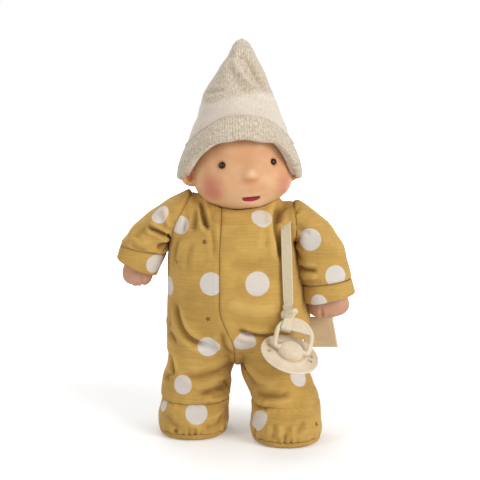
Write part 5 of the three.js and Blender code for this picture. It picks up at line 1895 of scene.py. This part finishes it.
def vinylMaterial(name, base, deep, face):
    v = skinValues
    material, w, shader = newMaterial(name)
    place = w.place("restPlace")
    grain = w.use(grainGroup, Place=place, Size=0.5)
    colour = w.colours(w.range(grain["Patches"], 0.35, 0.7), linear(*base),
        linear(*[0.6 * a + 0.4 * b for a, b in zip(base, deep)]))
    roughness = w.range(grain["Patches"], 0.3, 0.7, 0.46, 0.58)
    if face:
        # painted shade across the brow and under the nose, and a painted highlight on the nose
        colour = spotted(w, place, colour, [
            (browSpot, (0.36, 0.6, 1), 9.5, 0.6, v["deep"]),
            (noseSpot + np.array([-0.6, 0, -4.6]), (0.6, 0.6, 1.3), 6.0, 1.0, v["deep"]),
            (noseSpot + np.array([0.8, -2.0, 1.2]), (0.8, 0.5, 1), 5.2, 0.5, v["lit"])])
        # painted light: the face is lightened towards the chin and jaw, standing in for fill light there
        lowFace = w.parts(place)
        colour = tinted(w, colour, w.range(lowFace[2], 14.0, -4.0), 0.75, v["lit"])
        colour = spotted(w, place, colour, [
            (blushSpots[0], (1, 0.8, 0.95), 14.0, 0.85, v["blush"]),
            (blushSpots[1], (1, 0.8, 0.95), 13.0, 0.7, v["blush"]),
            *[(spot, (0.95, 0.6, 1.0), 4.9, 0.75, v["rim"]) for spot in eyeSpots],
            (lipSpot, (0.5, 0.5, 1.6), 4.4, 0.6, v["lip"])])
        # the mouth: flat and a little slanted above, round below
        split = w.parts(w.vector("SUBTRACT", place, tuple(mouthSpot)))
        u = w.math("DIVIDE", split[0], faceValues["mouthHalf"])
        level = w.minus(split[2], w.times(split[0], 0.025))
        below = w.math("DIVIDE", w.math("MINIMUM", level, 0.0), 2.35)
        reach = w.math("SQRT", w.plus(w.times(u, u), w.times(below, below)))
        inFront = w.math("LESS_THAN", split[1], 12.0)
        inside = w.times(w.times(w.range(reach, 1.06, 0.94), w.range(level, 1.55, 1.2)), inFront)
        shadeUp = w.range(level, 0.2, 1.3)
        colour = w.colours(inside, colour,
            w.colours(shadeUp, linear(*v["mouth"]), linear(*v["mouthShade"])))
        roughness = w.minus(roughness, w.times(inside, 0.12))
    # the ear's hollow is tinted orange-brown: partly the vinyl's warmer tone there, partly painted shade in
    # the recess
    hollow = w.place("hollow", "Fac")
    colour = tinted(w, colour, hollow, 0.85, v["rim"])
    w.feed(shader.inputs["Base Color"], colour)
    w.feed(shader.inputs["Roughness"], roughness)
    setInputs(shader,
        {"Specular IOR Level": 0.4, "Subsurface Weight": 0.12, "Subsurface Radius": (1.0, 0.4, 0.2),
        "Subsurface Scale": 0.002})
    bumped(w, shader, grain["Height"], 0.25, 0.08)
    return material


headMaterial = vinylMaterial("vinylHead", skinValues["skin"], skinValues["deep"], True)
for name in ("headVinyl", "ear_right", "ear_left"):
    bpy.data.objects[name].data.materials.append(headMaterial)
handMaterial = vinylMaterial("vinylHand", skinValues["hand"], skinValues["handDeep"], False)
for side in ("right", "left"):
    bpy.data.objects["handVinyl_" + side].data.materials.append(handMaterial)


def beadMaterial():
    material, w, shader = newMaterial("blackBead")
    grain = w.use(grainGroup, Place=w.place("restPlace"), Size=0.9)
    w.feed(shader.inputs["Base Color"], w.colours(grain["Patches"], linear(5, 4, 5), linear(12, 8, 8)))
    w.feed(shader.inputs["Roughness"], w.range(grain["Height"], 0.3, 0.7, 0.05, 0.12))
    setInputs(shader, {"Specular IOR Level": 0.3})
    return material


beads = beadMaterial()
for side in ("right", "left"):
    bpy.data.objects["eyeBead_" + side].data.materials.append(beads)

knitValues = {"pale": (238, 224, 203), "dark": (148, 129, 102), "band": (226, 215, 202), "column": 1.75,
    "relief": 0.35}


def knitMaterial():
    v = knitValues
    material, w, shader = newMaterial("oatmealKnit")
    place = w.place("restPlace")
    knit = w.use(knitGroup, Place=place, Column=v["column"], Fuzz=0.9)
    band = w.place("band", "Fac")
    colour = w.colours(knit["Shade"], linear(*v["dark"]), linear(*v["pale"]))
    wide = w.noise(w.vector("MULTIPLY", place, (0.05, 0.05, 0.05)), 1.0, 3.0)
    colour = w.colours(w.times(w.range(wide, 0.4, 0.7), 0.25), colour, linear(196, 176, 150))
    colour = w.colours(w.times(band, 0.55), colour, linear(*v["band"]))
    w.feed(shader.inputs["Base Color"], colour)
    setInputs(shader,
        {"Roughness": 0.95, "Sheen Weight": 0.35, "Sheen Roughness": 0.6, "Specular IOR Level": 0.15})
    height = w.times(knit["Height"], w.minus(1.0, w.times(band, 0.55)))
    bumped(w, shader, height, 0.8, v["relief"])
    return material


knitCloth = knitMaterial()
hatBrim.data.materials.append(knitCloth)
hatCrown.data.materials.append(knitCloth)


def ribbonMaterial():
    material, w, shader = newMaterial("creamTwill")
    place = w.place("restPlace")
    twill = w.use(twillGroup, Place=place, Rib=0.62)
    split = w.parts(place)
    rim = w.range(w.math("ABSOLUTE", split[0]), 2.9, 3.5)
    colour = w.colours(twill["Shade"], linear(186, 170, 138), linear(210, 196, 166))
    colour = w.colours(w.times(rim, 0.6), colour, linear(226, 213, 186))
    w.feed(shader.inputs["Base Color"], colour)
    setInputs(shader, {"Roughness": 0.8, "Sheen Weight": 0.1, "Specular IOR Level": 0.3})
    bumped(w, shader, twill["Height"], 0.6, 0.1)
    return material


ribbonCloth = ribbonMaterial()
strap.data.materials.append(ribbonCloth)
knot.data.materials.append(ribbonCloth)


def plasticMaterial(name, base, warm):
    material, w, shader = newMaterial(name)
    place = w.place("restPlace")
    grain = w.use(grainGroup, Place=place, Size=0.8)
    w.feed(shader.inputs["Base Color"],
        w.colours(w.range(grain["Patches"], 0.35, 0.65), linear(*base), linear(*warm)))
    w.feed(shader.inputs["Roughness"], w.range(grain["Height"], 0.3, 0.7, 0.38, 0.5))
    setInputs(shader, {"Specular IOR Level": 0.45})
    bumped(w, shader, grain["Height"], 0.2, 0.06)
    return material


creamPlastic = plasticMaterial("creamPlastic", (222, 206, 180), (212, 194, 166))
for thing in (ring, shield, buttonObject):
    thing.data.materials.append(creamPlastic)
nubObject.data.materials.append(plasticMaterial("softCreamPlastic", (226, 204, 172), (214, 188, 152)))


def labelMaterial():
    material, w, shader = newMaterial("wovenLabel")
    place = w.place("restPlace")
    weave = w.use(weaveGroup, Place=place, Thread=0.42, Slub=0.3)
    split = w.parts(place)
    rim = w.range(split[0], 23.2, 24.4)
    colour = w.colours(weave["Shade"], linear(188, 161, 122), linear(216, 191, 152))
    colour = w.colours(w.times(rim, 0.6), colour, linear(226, 206, 170))
    w.feed(shader.inputs["Base Color"], colour)
    setInputs(shader, {"Roughness": 0.82, "Specular IOR Level": 0.3})
    bumped(w, shader, weave["Height"], 0.6, 0.1)
    return material


label.data.materials.append(labelMaterial())


cottonFinish = {"Roughness": 0.9, "Specular IOR Level": 0.2}
neckCotton = cottonMaterial("neckCotton", 0.4, 0.25, (234, 226, 208), (212, 202, 182), cottonFinish, 0.6,
    0.12)
tieThread = cottonMaterial("tieThread", 0.25, 0.25, (226, 214, 190), (196, 182, 156), cottonFinish, 0.6,
    0.12)
neckKnob.data.materials.append(neckCotton)
neckTie.data.materials.append(tieThread)
print("finishes ready")

# Stage: white floor that keeps the shadow, white beyond it, soft lamps
stageValues = {"world": 0.34, "floorGlow": 0.22, "aim": (0, 0, 0.15)}
lampPlans = {
    "keyLamp": {"place": (1.2, -1.05, 0.8), "size": 0.85, "power": 19.5},
    "fillLamp": {"place": (-1.2, -0.75, 0.8), "size": 0.7, "power": 5.5},
    "topLamp": {"place": (0.0, 0.25, 1.4), "size": 0.8, "power": 6.0},
    "rearLamp": {"place": (-0.5, 1.4, 0.7), "size": 0.9, "power": 6.5},
}


def seenRays(w):
    # 1 for rays that the camera sees straight, by a reflection or through something, and 0 for the rest
    rays = w.add("LightPath").outputs
    return w.math("MAXIMUM", w.math("MAXIMUM", rays["Is Camera Ray"], rays["Is Glossy Ray"]),
        rays["Is Transmission Ray"])


floorMesh = bpy.data.meshes.new("studioFloor")
floorMesh.from_pydata([(-4, -4, 0), (4, -4, 0), (4, 4, 0), (-4, 4, 0)], [], [(0, 1, 2, 3)])
floor = bpy.data.objects.new("studioFloor", floorMesh)
bpy.context.scene.collection.objects.link(floor)
material, w, shader = newMaterial("paleFloor")
seen = seenRays(w)
patches = w.noise(w.add("TexCoord").outputs["Object"], 1.5, 2.0)
w.feed(shader.inputs["Base Color"], w.colours(patches, linear(238, 238, 238), linear(242, 242, 242)))
setInputs(shader, {"Roughness": 0.9, "Specular IOR Level": 0.1, "Emission Color": (1, 1, 1, 1)})
farOff = w.range(w.vector("LENGTH", w.add("TexCoord").outputs["Object"]), 0.14, 0.6,
    stageValues["floorGlow"], 1.0)
w.feed(shader.inputs["Emission Strength"], w.times(seen, farOff))
floorMesh.materials.append(material)

world = bpy.data.worlds.new("studioWorld")
bpy.context.scene.world = world
world.use_nodes = True
w = Wiring(world.node_tree)
background = world.node_tree.nodes["Background"]
background.inputs["Color"].default_value = (1, 1, 1, 1)
seen = seenRays(w)
w.feed(background.inputs["Strength"], w.range(seen, 0, 1, stageValues["world"], 1.0, smooth=False))


for name, plan in lampPlans.items():
    lamp = bpy.data.lights.new(name, "AREA")
    lamp.shape = "SQUARE"
    lamp.size = plan["size"]
    lamp.energy = plan["power"]
    thing = bpy.data.objects.new(name, lamp)
    bpy.context.scene.collection.objects.link(thing)
    thing.location = plan["place"]
    thing.rotation_euler = (Vector(stageValues["aim"]) - Vector(plan["place"])).to_track_quat("-Z",
        "Y").to_euler()
bpy.context.scene.view_settings.view_transform = "Standard"
print("stage ready")
